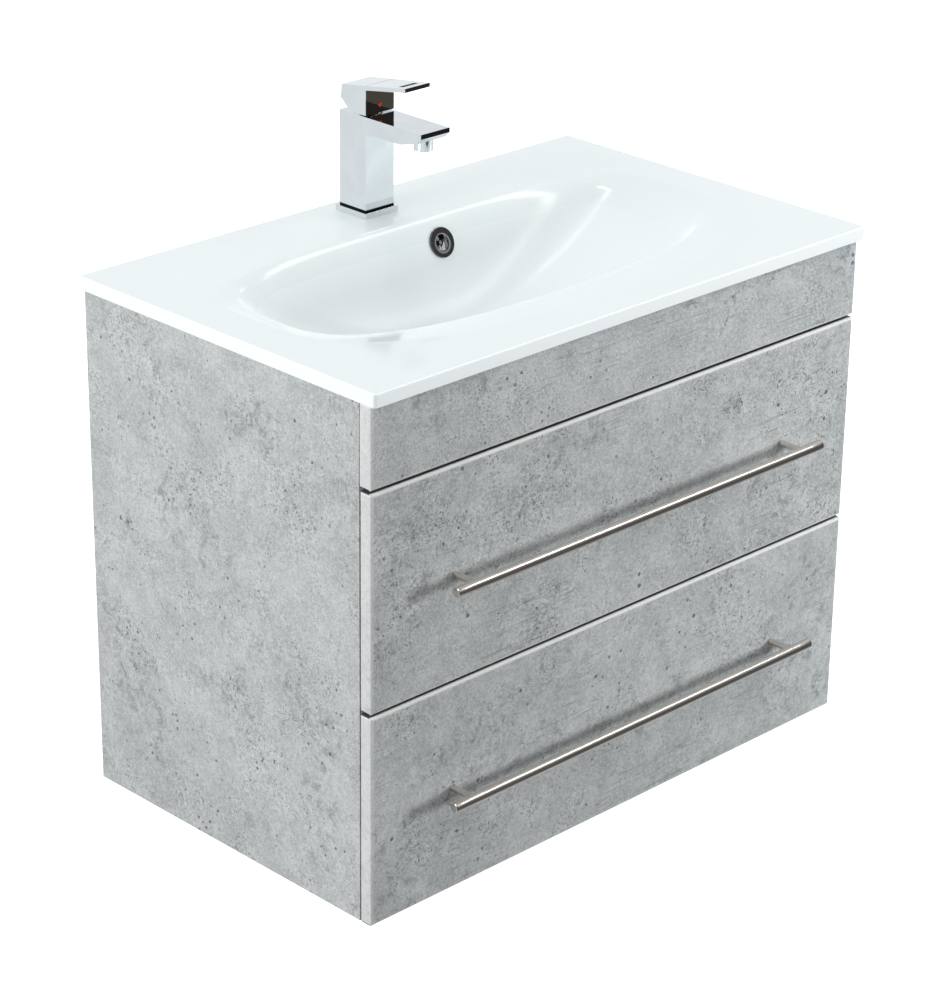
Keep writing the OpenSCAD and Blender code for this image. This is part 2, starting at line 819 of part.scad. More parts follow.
module handle_posts(z0) {
    z = z0 + drawer_front_h / 2;
    y = front_face_y - handle_reach;
    color(steel) both_sides() difference() {
        union() {
            difference() {
                rod_y(y, front_face_y - 0.05, handle_pitch / 2, z, post_d / 2);
                rod_x(handle_pitch / 2 - 20, handle_pitch / 2 + 20, y, z, handle_d / 2 + 0.05);
            }
            rod_y(y - 1.9, y + handle_d / 2 + 1, handle_pitch / 2, z, post_d / 2 - 1.6);
        }
        rod_y(front_face_y - screw_bite - 1, front_face_y, handle_pitch / 2, z, screw_r);
    }
}

module handle_screws(z0) {
    z = z0 + drawer_front_h / 2;
    color(zinc) both_sides() difference() {
        union() {
            rod_y(front_face_y - screw_bite, front_back_y + 0.1, handle_pitch / 2, z, screw_r - 0.05);
            rod_y(front_back_y + 0.05, front_back_y + screw_head_t, handle_pitch / 2, z, screw_head_r);
        }
        for (turn = [0, 90]) translate([handle_pitch / 2, front_back_y + 1.2, z]) rotate([0, turn, 0])
            block([-2.2, 0, -0.5], [2.2, 3, 0.5]);
    }
}

module drawer_side(z0, side) {
    low = z0 + box_lift;
    color(white_board) scale_x(side) difference() {
        block([box_half - box_t, front_back_y + 0.05, low], [box_half, box_back_y, low + box_h]);
        block([box_half - box_t - 1, front_back_y - 1, low + groove_z],
            [box_half - box_t + groove, box_back_y + 1, low + groove_z + bottom_t + fit]);
    }
}

// Bottom board with the recess cut out of it when it goes round the waste.
module drawer_bottom(z0, has_recess) {
    low = z0 + box_lift + groove_z + fit / 2;
    half = box_half - box_t + groove - fit;
    color(white_board) difference() {
        block([-half, front_back_y + 0.1, low], [half, box_back_y, low + bottom_t]);
        if (has_recess) block([-recess_out_half - 0.1, recess_front_y - box_t - 0.1, low - 1],
            [recess_out_half + 0.1, box_back_y + 1, low + bottom_t + 1]);
    }
}

module drawer_back(z0, has_recess) {
    low = z0 + box_lift + groove_z + bottom_t + fit;
    half = box_half - box_t - 0.05;
    color(white_board) difference() {
        block([-half, box_back_y - box_t, low], [half, box_back_y, z0 + box_lift + box_h]);
        if (has_recess) block([-recess_out_half - 0.1, box_back_y - box_t - 1, low - 1],
            [recess_out_half + 0.1, box_back_y + 1, low + box_h]);
    }
}

// U-shaped wall round the waste, in one moulded piece.
module drawer_recess(z0) {
    low = z0 + box_lift + groove_z;
    color(white_board) difference() {
        block([-recess_out_half, recess_front_y - box_t, low],
            [recess_out_half, box_back_y, z0 + box_lift + box_h]);
        block([-recess_w / 2, recess_front_y, low - 1], [recess_w / 2, box_back_y + 1, low + box_h]);
    }
}

module front_brackets(z0) {
    low = z0 + box_lift + groove_z + bottom_t + 12;
    leg = 32;
    t = 2;
    x = box_half - box_t - 0.1;
    color(zinc) both_sides() difference() {
        union() {
            block([x - t, front_back_y + 0.1, low], [x, front_back_y + leg, low + 60]);
            block([x - leg, front_back_y + 0.1, low], [x, front_back_y + 0.1 + t, low + 60]);
        }
        for (z = [15, 45]) {
            rod_x(x - t - 1, x + 1, front_back_y + leg * 0.6, low + z, 2.2);
            rod_y(front_back_y - 1, front_back_y + 3, x - leg * 0.6, low + z, 2.2);
        }
    }
}

// ---------------------------------------------------------------- runners

// Channel section in [x, z]: web from x0, flanges to x1, height h about z = 0.
module channel_2d(x0, x1, h) {
    out = x1 > x0 ? 1 : -1;
    web = min(x0, x0 + out * sheet_t);
    translate([web, -h / 2]) square([sheet_t, h]);
    for (z = [-h / 2, h / 2 - sheet_t]) translate([min(x0, x1), z]) square([abs(x1 - x0), sheet_t]);
}

module runner_member(x0, x1, h, z) {
    translate([0, 0, z]) difference() {
        along_y(runner_front_y, runner_front_y + runner_l) channel_2d(x0, x1, h);
        for (y = [40, runner_l / 2, runner_l - 40])
            rod_x(min(x0, x1) - 1, max(x0, x1) + 1, runner_front_y + y, 0, 2.5);
    }
}

module runner_cabinet_rails() {
    color(zinc) both_sides() for (z = [upper_runner_z, lower_runner_z])
        runner_member(inner_half - 0.05, inner_half - runner_space + 3, runner_h, z);
}

module runner_middles(z) {
    web = inner_half - 5;
    h = runner_h - 2 * sheet_t - 2 * slack - 3;
    color(zinc) both_sides() union() {
        runner_member(web, inner_half - sheet_t - 1, h, z);
        runner_member(web + sheet_t, box_half + sheet_t + 1, h, z);
    }
}

module runner_drawer_rails(z) {
    h = runner_h - 4 * sheet_t - 4 * slack - 7;
    color(zinc) both_sides() runner_member(box_half + 0.05, inner_half - 5 - slack, h, z);
}

// ---------------------------------------------------------------- nodes

side_panel(-1);  // side_panel_left
side_panel(1);  // side_panel_right
bottom_panel();
hanging_rail();
lower_back_rail();
front_stretcher();
fascia_panel();
fascia_screws();
cam_discs();
cam_bolts();
front_bumpers();
hanger_housings();
hanger_hooks();
hanger_screws();
wall_plates();
basin();
overflow_ring();
waste_body();
waste_plug();
waste_click_unit();
waste_seals();
waste_lock_nut();
tap_base_plate();
tap_body();
tap_cartridge();
tap_cartridge_collar();
tap_turret();
tap_pivot_pin();
tap_stem();
tap_lever();
tap_index_button();
tap_aerator();
tap_base_seal();
tap_fixing_stud();
tap_clamp_washer();
tap_fixing_nut();
drawer_front(upper_front_z);  // upper_drawer_front
drawer_side(upper_front_z, -1);  // upper_drawer_side_left
drawer_side(upper_front_z, 1);  // upper_drawer_side_right
drawer_back(upper_front_z, true);  // upper_drawer_back
drawer_recess(upper_front_z);  // upper_drawer_recess
drawer_bottom(upper_front_z, true);  // upper_drawer_bottom
front_brackets(upper_front_z);  // upper_front_brackets
handle_bar(upper_front_z);  // upper_handle_bar
handle_posts(upper_front_z);  // upper_handle_posts
handle_screws(upper_front_z);  // upper_handle_screws
drawer_front(lower_front_z);  // lower_drawer_front
drawer_side(lower_front_z, -1);  // lower_drawer_side_left
drawer_side(lower_front_z, 1);  // lower_drawer_side_right
drawer_back(lower_front_z, false);  // lower_drawer_back
drawer_bottom(lower_front_z, false);  // lower_drawer_bottom
front_brackets(lower_front_z);  // lower_front_brackets
handle_bar(lower_front_z);  // lower_handle_bar
handle_posts(lower_front_z);  // lower_handle_posts
handle_screws(lower_front_z);  // lower_handle_screws
runner_cabinet_rails();
runner_middles(upper_runner_z);  // upper_runner_middles
runner_middles(lower_runner_z);  // lower_runner_middles
runner_drawer_rails(upper_runner_z);  // upper_runner_drawer_rails
runner_drawer_rails(lower_runner_z);  // lower_runner_drawer_rails
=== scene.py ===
"""Wall-hung bathroom vanity: two drawers in a concrete-look carcass, an inset basin and a single-lever tap.

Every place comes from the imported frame, in metres: +X right, +Y into the wall, +Z up.
"""

import json
import math

import bmesh
import bpy
import numpy as np
from bpy.props import FloatProperty, FloatVectorProperty, IntProperty, PointerProperty
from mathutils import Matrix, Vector


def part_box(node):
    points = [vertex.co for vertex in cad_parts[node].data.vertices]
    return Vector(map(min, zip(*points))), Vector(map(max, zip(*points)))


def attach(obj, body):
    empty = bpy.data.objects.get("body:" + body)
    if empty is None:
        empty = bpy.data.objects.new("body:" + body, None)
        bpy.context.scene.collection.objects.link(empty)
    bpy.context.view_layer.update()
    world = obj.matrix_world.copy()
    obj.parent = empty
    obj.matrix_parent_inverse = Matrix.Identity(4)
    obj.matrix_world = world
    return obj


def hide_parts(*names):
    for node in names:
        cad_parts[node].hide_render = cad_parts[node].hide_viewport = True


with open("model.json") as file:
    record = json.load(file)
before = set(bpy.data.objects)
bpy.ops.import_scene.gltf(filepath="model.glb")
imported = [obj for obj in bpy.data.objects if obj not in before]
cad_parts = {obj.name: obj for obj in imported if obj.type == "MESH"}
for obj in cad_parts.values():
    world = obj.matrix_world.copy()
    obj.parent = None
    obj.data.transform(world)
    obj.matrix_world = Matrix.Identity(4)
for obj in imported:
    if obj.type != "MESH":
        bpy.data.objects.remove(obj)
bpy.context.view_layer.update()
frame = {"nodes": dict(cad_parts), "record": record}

bl_info = {
    "name": "Wall-hung vanity",
    "version": (1, 0, 0),
    "blender": (4, 5, 0),
    "location": "View3D > Sidebar > Vanity",
    "description": "Builds the visible pieces and finishes of a two-drawer vanity with basin and tap",
    "category": "Object",
}

DECK_LOW, DECK_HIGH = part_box("basin")
WASTE_MIDDLE = sum(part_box("waste_body"), Vector()) * 0.5
TAP_MIDDLE = sum(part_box("tap_base_plate"), Vector()) * 0.5
RING_MIDDLE = sum(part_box("overflow_ring"), Vector()) * 0.5
SHARP_NEW = math.radians(35.0)      # edges of new surfaces sharper than this stay sharp
SHARP_BASIN = math.radians(42.0)    # the same on the basin, after its holes are cut
SHARP_COPY = math.radians(40.0)     # the same on copies of CAD nodes, where the bevels go
FAR = 1.0                           # past the object's end in every direction
MADE = {}                           # finishes by the name of their node or material slot


# ---------------------------------------------------------------- sizes and colours

def length(name, description, default):
    """A length in metres that the sidebar shows."""
    return FloatProperty(name=name, description=description, default=default, min=0.0, max=5.0,
                         precision=4, subtype="DISTANCE", unit="LENGTH")


def colour(name, description, default):
    """A linear colour that the sidebar shows."""
    return FloatVectorProperty(name=name, description=description, default=default, size=3,
                               min=0.0, max=1.0, subtype="COLOR")


def number(name, description, default):
    """A plain number that the sidebar shows."""
    return FloatProperty(name=name, description=description, default=default, min=0.0, max=5000.0)


class VanityBasinSizes(bpy.types.PropertyGroup):
    """Sizes of the inset basin."""
    slab: length("Deck thickness", "Thickness of the flat deck at its edge", 0.015)
    corner: length("Corner radius", "Radius of the deck's corners, seen from above", 0.004)
    edge: length("Edge radius", "Radius of the deck's upper edge", 0.0016)
    dish_half: length("Dish half width", "From the bowl's centre to the dish's side", 0.325)
    dish_front: length("Dish to the front", "From the bowl's centre to the dish's front", 0.180)
    dish_back: length("Dish to the back", "From the bowl's centre to the dish's back", 0.129)
    dish_depth: length("Dish depth", "Fall of the dish before the bowl's wall starts", 0.008)
    lip_half: length("Lip half width", "From the bowl's centre to the lip's side", 0.295)
    lip_front: length("Lip to the front", "From the bowl's centre to the lip's front", 0.122)
    lip_back: length("Lip to the back", "From the bowl's centre to the lip's back", 0.124)
    floor_half: length("Floor half width", "From the drain to the side of the flat floor", 0.060)
    floor_front: length("Floor to the front", "From the drain to the front of the flat floor", 0.042)
    floor_back: length("Floor to the back", "From the drain to the back of the flat floor", 0.060)
    depth: length("Bowl depth", "From the deck to the bowl's floor", 0.110)
    wall: length("Bowl wall", "Thickness of the bowl's wall", 0.010)
    lip_radius: length("Lip softness", "How far the lip's rounding reaches each way", 0.007)
    rim_radius: length("Rim softness", "How far the rounding of the dish's rim reaches each way", 0.0035)
    curve: number("Wall curve", "How sharply the wall turns into the floor", 0.6)
    square_front: number("Front squareness", "Superellipse exponent of the front half", 2.7)
    square_back: number("Back squareness", "Superellipse exponent of the back half", 4.5)
    drain: length("Drain radius", "Radius of the drain hole", 0.0225)
    boss: length("Boss radius", "Radius of the boss under the drain", 0.036)
    overflow_depth: length("Overflow depth", "From the deck to the overflow's centre", 0.030)
    overflow_hole: length("Overflow radius", "Radius of the overflow hole", 0.011)
    ring_seat: length("Ring seat radius", "Radius of the flat seat of the overflow ring", 0.0177)
    tap_hole: length("Tap hole radius", "Radius of the tap hole", 0.0175)
    around: IntProperty(name="Points around", description="Points round each outline of the basin",
                        default=420, min=64, max=2000)


class VanityEdgeSizes(bpy.types.PropertyGroup):
    """Small edge radii of the boards and fittings."""
    front: length("Front edge", "Edge radius of the drawer fronts", 0.0007)
    board: length("Board edge", "Edge radius of the boards", 0.0005)
    tap: length("Tap edge", "Edge radius of the tap's body", 0.0009)
    lever: length("Lever edge", "Edge radius of the tap's lever", 0.0008)
    base: length("Base plate edge", "Edge radius of the tap's base plate", 0.0006)
    ring: length("Ring edge", "Edge radius of the overflow ring", 0.0007)
    plug: length("Plug edge", "Edge radius of the waste's plug", 0.0008)
    fitting: length("Fitting edge", "Edge radius of small fittings", 0.0003)
    bar_chamfer: length("Bar chamfer", "Chamfer at the ends of the handle bars", 0.0011)


class VanityColours(bpy.types.PropertyGroup):
    """Colours of the finishes."""
    concrete_light: colour("Concrete light", "Pale patches of the concrete decor", (0.770, 0.790, 0.795))
    concrete_dark: colour("Concrete dark", "Dark patches of the concrete decor", (0.400, 0.428, 0.440))
    concrete_pit: colour("Concrete pit", "Pits of the concrete decor", (0.130, 0.140, 0.148))
    glaze: colour("Glaze", "Glazed ceramic", (0.685, 0.718, 0.719))
    chrome: colour("Chrome", "Chrome plating", (0.790, 0.830, 0.850))
    steel: colour("Satin steel", "Handle bars", (0.800, 0.755, 0.700))
    board: colour("Carcass board", "Melamine of the carcass boards", (0.470, 0.480, 0.485))
    box: colour("Drawer board", "Melamine of the drawer boxes", (0.560, 0.565, 0.560))
    index: colour("Index red", "Warm-water dot on the tap", (0.55, 0.02, 0.02))


class VanityStageSizes(bpy.types.PropertyGroup):
    """Camera, floor and lights."""
    lens: FloatProperty(name="Lens", description="Focal length in millimetres", default=115.5,
                        min=10.0, max=400.0, subtype="DISTANCE_CAMERA")
    floor: FloatProperty(name="Floor level", description="Height of the floor, below the deck of the basin",
                         default=-0.775, min=-3.0, max=0.0, subtype="DISTANCE", unit="LENGTH")
    world: number("World strength", "Brightness of the studio round the object", 1.0)
    glow: number("Horizon glow", "How much brighter the low band behind the object is", 0.12)
    key: number("Key power", "Power of the light in front, in watts", 48.0)
    side: number("Side power", "Power of the light on the left, in watts", 33.0)
    strip: number("Strip power", "Power of the long light above the front, in watts", 11.0)
    top: number("Top power", "Power of the light overhead, in watts", 6.0)


# ---------------------------------------------------------------- shader expressions

class Wire:
    """An output of a shader node; arithmetic on it adds Math nodes."""

    def __init__(self, finish, socket):
        self.finish, self.socket = finish, socket

    def __add__(self, other): return self.finish.maths("ADD", self, other)

    def __radd__(self, other): return self.finish.maths("ADD", other, self)

    def __sub__(self, other): return self.finish.maths("SUBTRACT", self, other)

    def __rsub__(self, other): return self.finish.maths("SUBTRACT", other, self)

    def __mul__(self, other): return self.finish.maths("MULTIPLY", self, other)

    def __rmul__(self, other): return self.finish.maths("MULTIPLY", other, self)

    def __pow__(self, other): return self.finish.maths("POWER", self, other)


class Finish:
    """A material whose nodes are made by expressions."""

    def __init__(self, name, roughness=0.5, metallic=0.0, coat=0.0, coat_roughness=0.05, ior=1.45, tree=None):
        if tree is None:
            self.material = bpy.data.materials.new(name)
            self.material.use_nodes = True
            tree = self.material.node_tree
        self.tree = tree
        self.tree.nodes.clear()
        self.shader = None
        if name is not None:
            self.shader = self.tree.nodes.new("ShaderNodeBsdfPrincipled")
            for socket, value in {"Roughness": roughness, "Metallic": metallic, "Coat Weight": coat,
                                  "Coat Roughness": coat_roughness, "IOR": ior}.items():
                self.shader.inputs[socket].default_value = value
            output = self.tree.nodes.new("ShaderNodeOutputMaterial")
            self.tree.links.new(self.shader.outputs[0], output.inputs[0])

    def node(self, kind, settings, sockets, output=0):
        """Any node: its settings are set first, then the values or links of its sockets."""
        made = self.tree.nodes.new(kind)
        for key, value in settings.items():
            setattr(made, key, value)
        for key, value in sockets.items():
            if isinstance(value, Wire):
                self.tree.links.new(value.socket, made.inputs[key])
            else:
                made.inputs[key].default_value = value
        return Wire(self, made.outputs[output])

    def maths(self, operation, a, b=0.0):
        """One Math node."""
        return self.node("ShaderNodeMath", {"operation": operation}, {0: a, 1: b})

    def ramp(self, value, low, high):
        """0 below low, 1 above high, and a smooth S between them."""
        return self.node("ShaderNodeMapRange", {"interpolation_type": "SMOOTHSTEP"},
                         {"Value": value, "From Min": low, "From Max": high, "To Min": 0.0, "To Max": 1.0})

    def mix(self, factor, a, b, kind="MIX"):
        """Colour a where factor is 0 and b where it is 1."""
        shade = [x if isinstance(x, Wire) else (*x, 1.0) for x in (a, b)]
        return self.node("ShaderNodeMix", {"data_type": "RGBA", "blend_type": kind, "clamp_factor": True},
                         {0: factor, 6: shade[0], 7: shade[1]}, 2)

    def place(self, shift=(0.0, 0.0, 0.0), turn=(0.0, 0.0, 0.0), scale=(1.0, 1.0, 1.0)):
        """Object coordinates, moved, turned and stretched."""
        point = self.node("ShaderNodeTexCoord", {}, {}, "Object")
        return self.node("ShaderNodeMapping", {}, {"Vector": point, "Location": shift, "Rotation": turn,
                                                   "Scale": scale})

    def axes(self, point):
        """The three coordinates of a point, each as a number."""
        split = self.node("ShaderNodeSeparateXYZ", {}, {"Vector": point})
        return [Wire(self, out) for out in split.socket.node.outputs]

    def noise(self, point, scale, detail=3.0, rough=0.55, distortion=0.0):
        """Smooth noise from 0 to 1, whose features are about 1/scale metres."""
        return self.node("ShaderNodeTexNoise", {"noise_dimensions": "3D"},
                         {"Vector": point, "Scale": scale, "Detail": detail, "Roughness": rough,
                          "Distortion": distortion}, "Fac")

    def cells(self, point, scale, output="Distance"):
        """Distance to the nearest of scattered points, or that point's own colour."""
        return self.node("ShaderNodeTexVoronoi", {"feature": "F1"}, {"Vector": point, "Scale": scale}, output)

    def bump(self, height, depth, strength=1.0):
        """Normal of a surface raised by height times depth metres."""
        return self.node("ShaderNodeBump", {}, {"Height": height, "Distance": depth, "Strength": strength})

    def done(self, **sockets):
        """Links the shader's sockets, named with underscores, and gives the material."""
        for key, value in sockets.items():
            socket = self.shader.inputs[key.replace("_", " ")]
            if isinstance(value, Wire):
                self.tree.links.new(value.socket, socket)
            else:
                socket.default_value = value
        return self.material


# ---------------------------------------------------------------- finishes

def concrete(name, node, shift, edged=True):
    """Concrete decor: blotches, dense grain, smudges, hairlines, clustered pits and a few scratches. An edged board
    has a pale rounded front edge, partly wear and partly a painted highlight, a brighter painted highlight on its
    top edge, and a dark band of painted shade on its top and bottom faces, in the gaps between the boards."""
    tints = bpy.context.scene.vanity_colours
    f = Finish(name, ior=1.42)
    point = f.place(shift=shift)
    dark, light, pit_tint = (tuple(getattr(tints, "concrete_" + k)) for k in ("dark", "light", "pit"))
    black = tuple(Vector(pit_tint) * 0.40)
    line_tint = tuple(Vector(pit_tint) * 0.7)

    # Blotches as wide as a hand and as a thumb, then a coarse and a fine grain.
    broad = f.ramp(f.noise(point, 6.0, 3.0, 0.55), 0.36, 0.64)
    patch = f.ramp(f.noise(point, 26.0, 9.0, 0.75, 0.3), 0.43, 0.59)
    grain = f.noise(point, 270.0, 4.0, 0.78)
    fine = f.noise(point, 640.0, 2.0, 0.70)
    tone = 0.17 * broad + 0.22 * patch + 0.29 * f.ramp(grain, 0.40, 0.60) + 0.32 * f.ramp(fine, 0.38, 0.62)
    base = f.mix(tone, dark, light)
    warmth = f.ramp(f.noise(point, 9.0, 2.0), 0.35, 0.7)
    warm = f.mix(warmth * 0.6, base, (1.0, 0.985, 0.97), "MULTIPLY")

    # Smudges in some regions only, then dark and pale specks everywhere.
    region = f.noise(point, 8.5, 3.0, 0.6)
    smudge = f.ramp(f.noise(point, 60.0, 7.0, 0.80, 0.5), 0.50, 0.62) * f.ramp(region, 0.46, 0.60)
    smudged = f.mix(smudge * 0.50, warm, pit_tint)
    pepper = f.mix(f.ramp(fine, 0.36, 0.27) * 0.75, smudged, pit_tint)
    salt = f.mix(f.ramp(fine, 0.64, 0.74) * 0.45, pepper, (0.86, 0.88, 0.89))

    # Hairlines and short squiggles where a noise crosses its middle value, broken up by the grain.
    broken = f.ramp(grain, 0.60, 0.46)
    vein = f.maths("ABSOLUTE", f.noise(point, 85.0, 2.0, 0.60, 1.6) - 0.5)
    hair = f.ramp(vein, 0.026, 0.008) * f.ramp(f.noise(point, 13.0, 4.0, 0.6), 0.49, 0.60)
    fleck = f.maths("ABSOLUTE", f.noise(point, 190.0, 2.0, 0.60, 2.0) - 0.5)
    squiggle = f.ramp(fleck, 0.034, 0.010) * f.ramp(f.noise(point, 33.0, 3.0), 0.40, 0.62)
    lines = f.maths("MAXIMUM", hair * 0.95, squiggle * 0.55) * broken
    veined = f.mix(lines * 0.85, salt, line_tint)

    # Pits up to 3 mm wide in clusters, and dots up to 1 mm wide. Each cell's colour sets its own size.
    cluster = f.ramp(f.noise(point, 19.0, 4.0, 0.7), 0.50, 0.62)
    big = f.cells(point, 95.0)
    size = f.axes(f.cells(point, 95.0, "Color"))[0]
    pit = f.ramp(size * 0.24 + 0.10 * f.noise(point, 700.0, 2.0) - big, 0.0, 0.07) * cluster
    small = f.cells(point, 230.0)
    small_size = f.axes(f.cells(point, 230.0, "Color"))[1]
    dotted = f.ramp(f.noise(point, 27.0, 3.0), 0.54, 0.68)
    dot = f.ramp(small_size * 0.40 + 0.10 * grain - small, 0.06, 0.15) * dotted
    holes = f.maths("MAXIMUM", pit, dot * 0.80)
    pitted = f.mix(holes * 0.75, veined, black)

    # A few long straight scratches.
    along = f.place(shift=shift, turn=(0.5, 0.35, 0.9), scale=(5.0, 230.0, 230.0))
    line = f.maths("ABSOLUTE", f.noise(along, 1.0, 1.0) - 0.5)
    scratch = f.ramp(line, 0.020, 0.006) * f.ramp(f.noise(point, 7.0, 1.0), 0.54, 0.60)
    final = f.mix(scratch * 0.40, pitted, pit_tint)

    height = 0.6 * grain + 0.15 * patch - holes * 1.0 - lines * 0.3 - scratch * 0.25
    rough = 0.46 + 0.16 * grain + 0.18 * holes
    if edged:
        # Pale edges, partly wear and partly a painted highlight, a painted highlight on the top edge and painted
        # shade in the gaps.
        final, wear_and_highlight = worn_and_painted_light_edges(f, point, node, final)
        rough = rough - 0.12 * wear_and_highlight
    return f.done(Base_Color=final, Roughness=rough, Normal=f.bump(height, 0.0003, 0.6))


def worn_and_painted_light_edges(f, point, node, base):
    """Painted light on a board's edges, by the distance in metres from the board's sides: the pale rounded front
    edge, partly wear and partly a painted highlight, a brighter painted highlight on the top edge, and a dark band
    of painted shade behind the front face on the top and bottom faces. Gives the colour and the mask of the pale
    edge."""
    pale_from, pale_full = 0.0042, 0.0014
    top_from, top_full = 0.0046, 0.0016
    gap_shade_from, gap_shade_full = 0.0016, 0.0008
    behind_from, behind_full = 0.0020, 0.0045
    low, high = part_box(node)
    middle, half = 0.5 * (low + high), 0.5 * (high - low)
    x, y, z = f.axes(f.place())
    gap_x = half.x - f.maths("ABSOLUTE", x - middle.x)
    gap_z = half.z - f.maths("ABSOLUTE", z - middle.z)
    uneven_edge = 0.72 + 0.28 * f.ramp(f.noise(point, 160.0, 2.0), 0.30, 0.65)
    # The pale edge is partly wear and partly a painted highlight.
    wear_and_highlight = f.ramp(f.maths("MINIMUM", gap_x, gap_z), pale_from, pale_full) * uneven_edge
    pale = f.mix(wear_and_highlight * 0.70, base, (0.86, 0.865, 0.86))
    # A brighter painted highlight on the top edge.
    top_highlight = f.mix(f.ramp(high.z - z, top_from, top_full) * 0.75, pale, (0.97, 0.97, 0.96))
    # Painted shade in the gaps: a dark band on the top and bottom faces, behind the front face.
    gap_shade = f.ramp(gap_z, gap_shade_from, gap_shade_full) * f.ramp(y, low.y + behind_from, low.y + behind_full)
    return f.mix(gap_shade * 0.93, top_highlight, (0.030, 0.031, 0.033)), wear_and_highlight


def glaze():
    """White glazed ceramic: hardly visible clouds and specks in the colour, a very shallow waviness, and a painted
    glow, a little light of its own that stands in for the light that scatters inside the glaze and evens out the
    shade between the deck and the bowl."""
    f = Finish("glazed_white", roughness=0.08, coat=0.10, coat_roughness=0.03, ior=1.43)
    tint = Vector(bpy.context.scene.vanity_colours.glaze)
    point = f.place(shift=(0.3, 0.1, 0.7))
    cloud = f.noise(point, 11.0, 2.0)
    speck = f.ramp(f.noise(point, 900.0, 1.0), 0.68, 0.78)
    base = f.mix(f.ramp(cloud, 0.3, 0.7), tuple(tint * 0.985), tuple(tint))
    speckled = f.mix(speck * 0.05, base, (0.6, 0.62, 0.62))
    x, y, z = f.axes(f.place())

    # A painted highlight makes the edge of the deck paler, and painted shade makes the hole of the overflow dark
    # inside.
    edge = f.maths("MINIMUM", y - DECK_LOW.y, f.maths("MINIMUM", x - DECK_LOW.x, DECK_HIGH.x - x))
    rim = f.mix(f.ramp(edge, 0.0026, 0.0010), speckled, (0.86, 0.89, 0.895))
    centre, _ = overflow_axis(bpy.context.scene.vanity_basin)
    across = f.maths("SQRT", (x - centre[0]) ** 2.0 + (z - centre[2]) ** 2.0)
    # Painted shade: the inside of the overflow hole and its duct is dark.
    inside = f.ramp(across, 0.016, 0.013) * f.ramp(y, centre[1] + 0.0015, centre[1] + 0.0035)
    final = f.mix(inside, rim, (0.010, 0.012, 0.016))

    # The gloss is full on the deck, a little softer in the dish and softer still down the bowl.
    height = f.noise(point, 55.0, 2.0) + 0.12 * f.noise(point, 420.0, 1.0)
    depth = DECK_HIGH.z - z
    rough = 0.07 + 0.05 * cloud + 0.05 * f.ramp(depth, 0.001, 0.006) + 0.20 * f.ramp(depth, 0.014, 0.032)
    # The emission is a painted glow that brightens the ceramic and evens out its shade.
    return f.done(Base_Color=final, Roughness=rough, Normal=f.bump(height, 0.00006, 0.5),
                  Emission_Color=(0.90, 0.98, 1.0, 1.0), Emission_Strength=0.19)


def chrome(name="chrome_plate", painted_dark_boxes=()):
    """Chrome plate: nearly a mirror, with faint wiping marks. Inside each painted dark box, given as two corners
    and a colour, the plate's colour is painted dark, as painted reflection and shade in the recesses and on the
    narrow end faces."""
    f = Finish(name, metallic=1.0)
    tint = Vector(bpy.context.scene.vanity_colours.chrome)
    point = f.place(shift=(1.7, 0.4, 0.2))
    smear = f.noise(f.place(shift=(0.2, 0.9, 0.1), turn=(0.2, 0.1, 0.6), scale=(20.0, 90.0, 60.0)), 1.0, 3.0)
    cloud = f.noise(point, 38.0, 2.0)
    base = f.mix(f.ramp(cloud, 0.35, 0.65), tuple(tint * 0.96), tuple(tint))
    blur = 0.0002
    # Painted dark reflections and shade inside each box.
    for low, high, dark in painted_dark_boxes:
        mask = 1.0
        for value, a, b in zip(f.axes(f.place()), low, high):
            mask = mask * f.ramp(value, a - blur, a) * f.ramp(value, b + blur, b)
        base = f.mix(mask, base, dark)
    rough = 0.045 + 0.05 * f.ramp(smear, 0.45, 0.75) + 0.02 * cloud
    return f.done(Base_Color=base, Roughness=rough, Normal=f.bump(f.noise(point, 70.0, 1.0), 0.00003, 0.3))


def ring_chrome():
    """Chrome of the overflow ring, by the distance from the overflow's axis: a painted dark reflection on the
    flange, a painted highlight on the lip round the throat, and painted shade in the throat."""
    f = Finish("chrome_overflow_ring", metallic=1.0)
    centre, out = overflow_axis(bpy.context.scene.vanity_basin)
    x, y, z = f.axes(f.place())
    up = (z - centre[2]) * (-1.0 / out[1])
    across = f.maths("SQRT", (x - centre[0]) ** 2.0 + up ** 2.0)
    cloud = f.noise(f.place(shift=(0.6, 0.6, 0.1)), 240.0, 3.0)
    # Painted light by the distance from the axis: a painted dark reflection on the flange, a painted highlight on
    # the lip and painted shade in the throat.
    painted_dark_flange = f.mix(cloud, (0.11, 0.11, 0.12), (0.24, 0.24, 0.25))
    lip = f.ramp(across, 0.0122, 0.0114)
    painted_throat_shade = f.ramp(across, 0.0098, 0.0088)
    base = f.mix(painted_throat_shade, f.mix(lip, painted_dark_flange, (0.95, 0.96, 0.97)), (0.020, 0.024, 0.034))
    return f.done(Base_Color=base, Roughness=0.08 + 0.10 * cloud)


def satin():
    """Satin steel: very fine scratches along the bar, which runs in X."""
    f = Finish("satin_steel", metallic=1.0)
    tint = Vector(bpy.context.scene.vanity_colours.steel)
    streak = f.noise(f.place(shift=(0.1, 0.6, 0.3), scale=(26.0, 2600.0, 2600.0)), 1.0, 3.0, 0.6)
    cloud = f.noise(f.place(shift=(0.5, 0.2, 0.9)), 30.0, 2.0)
    base = f.mix(f.ramp(streak, 0.35, 0.65), tuple(tint * 0.80), tuple(tint))
    rough = 0.17 + 0.06 * streak + 0.03 * cloud
    return f.done(Base_Color=base, Roughness=rough, Normal=f.bump(streak, 0.00001, 0.3))


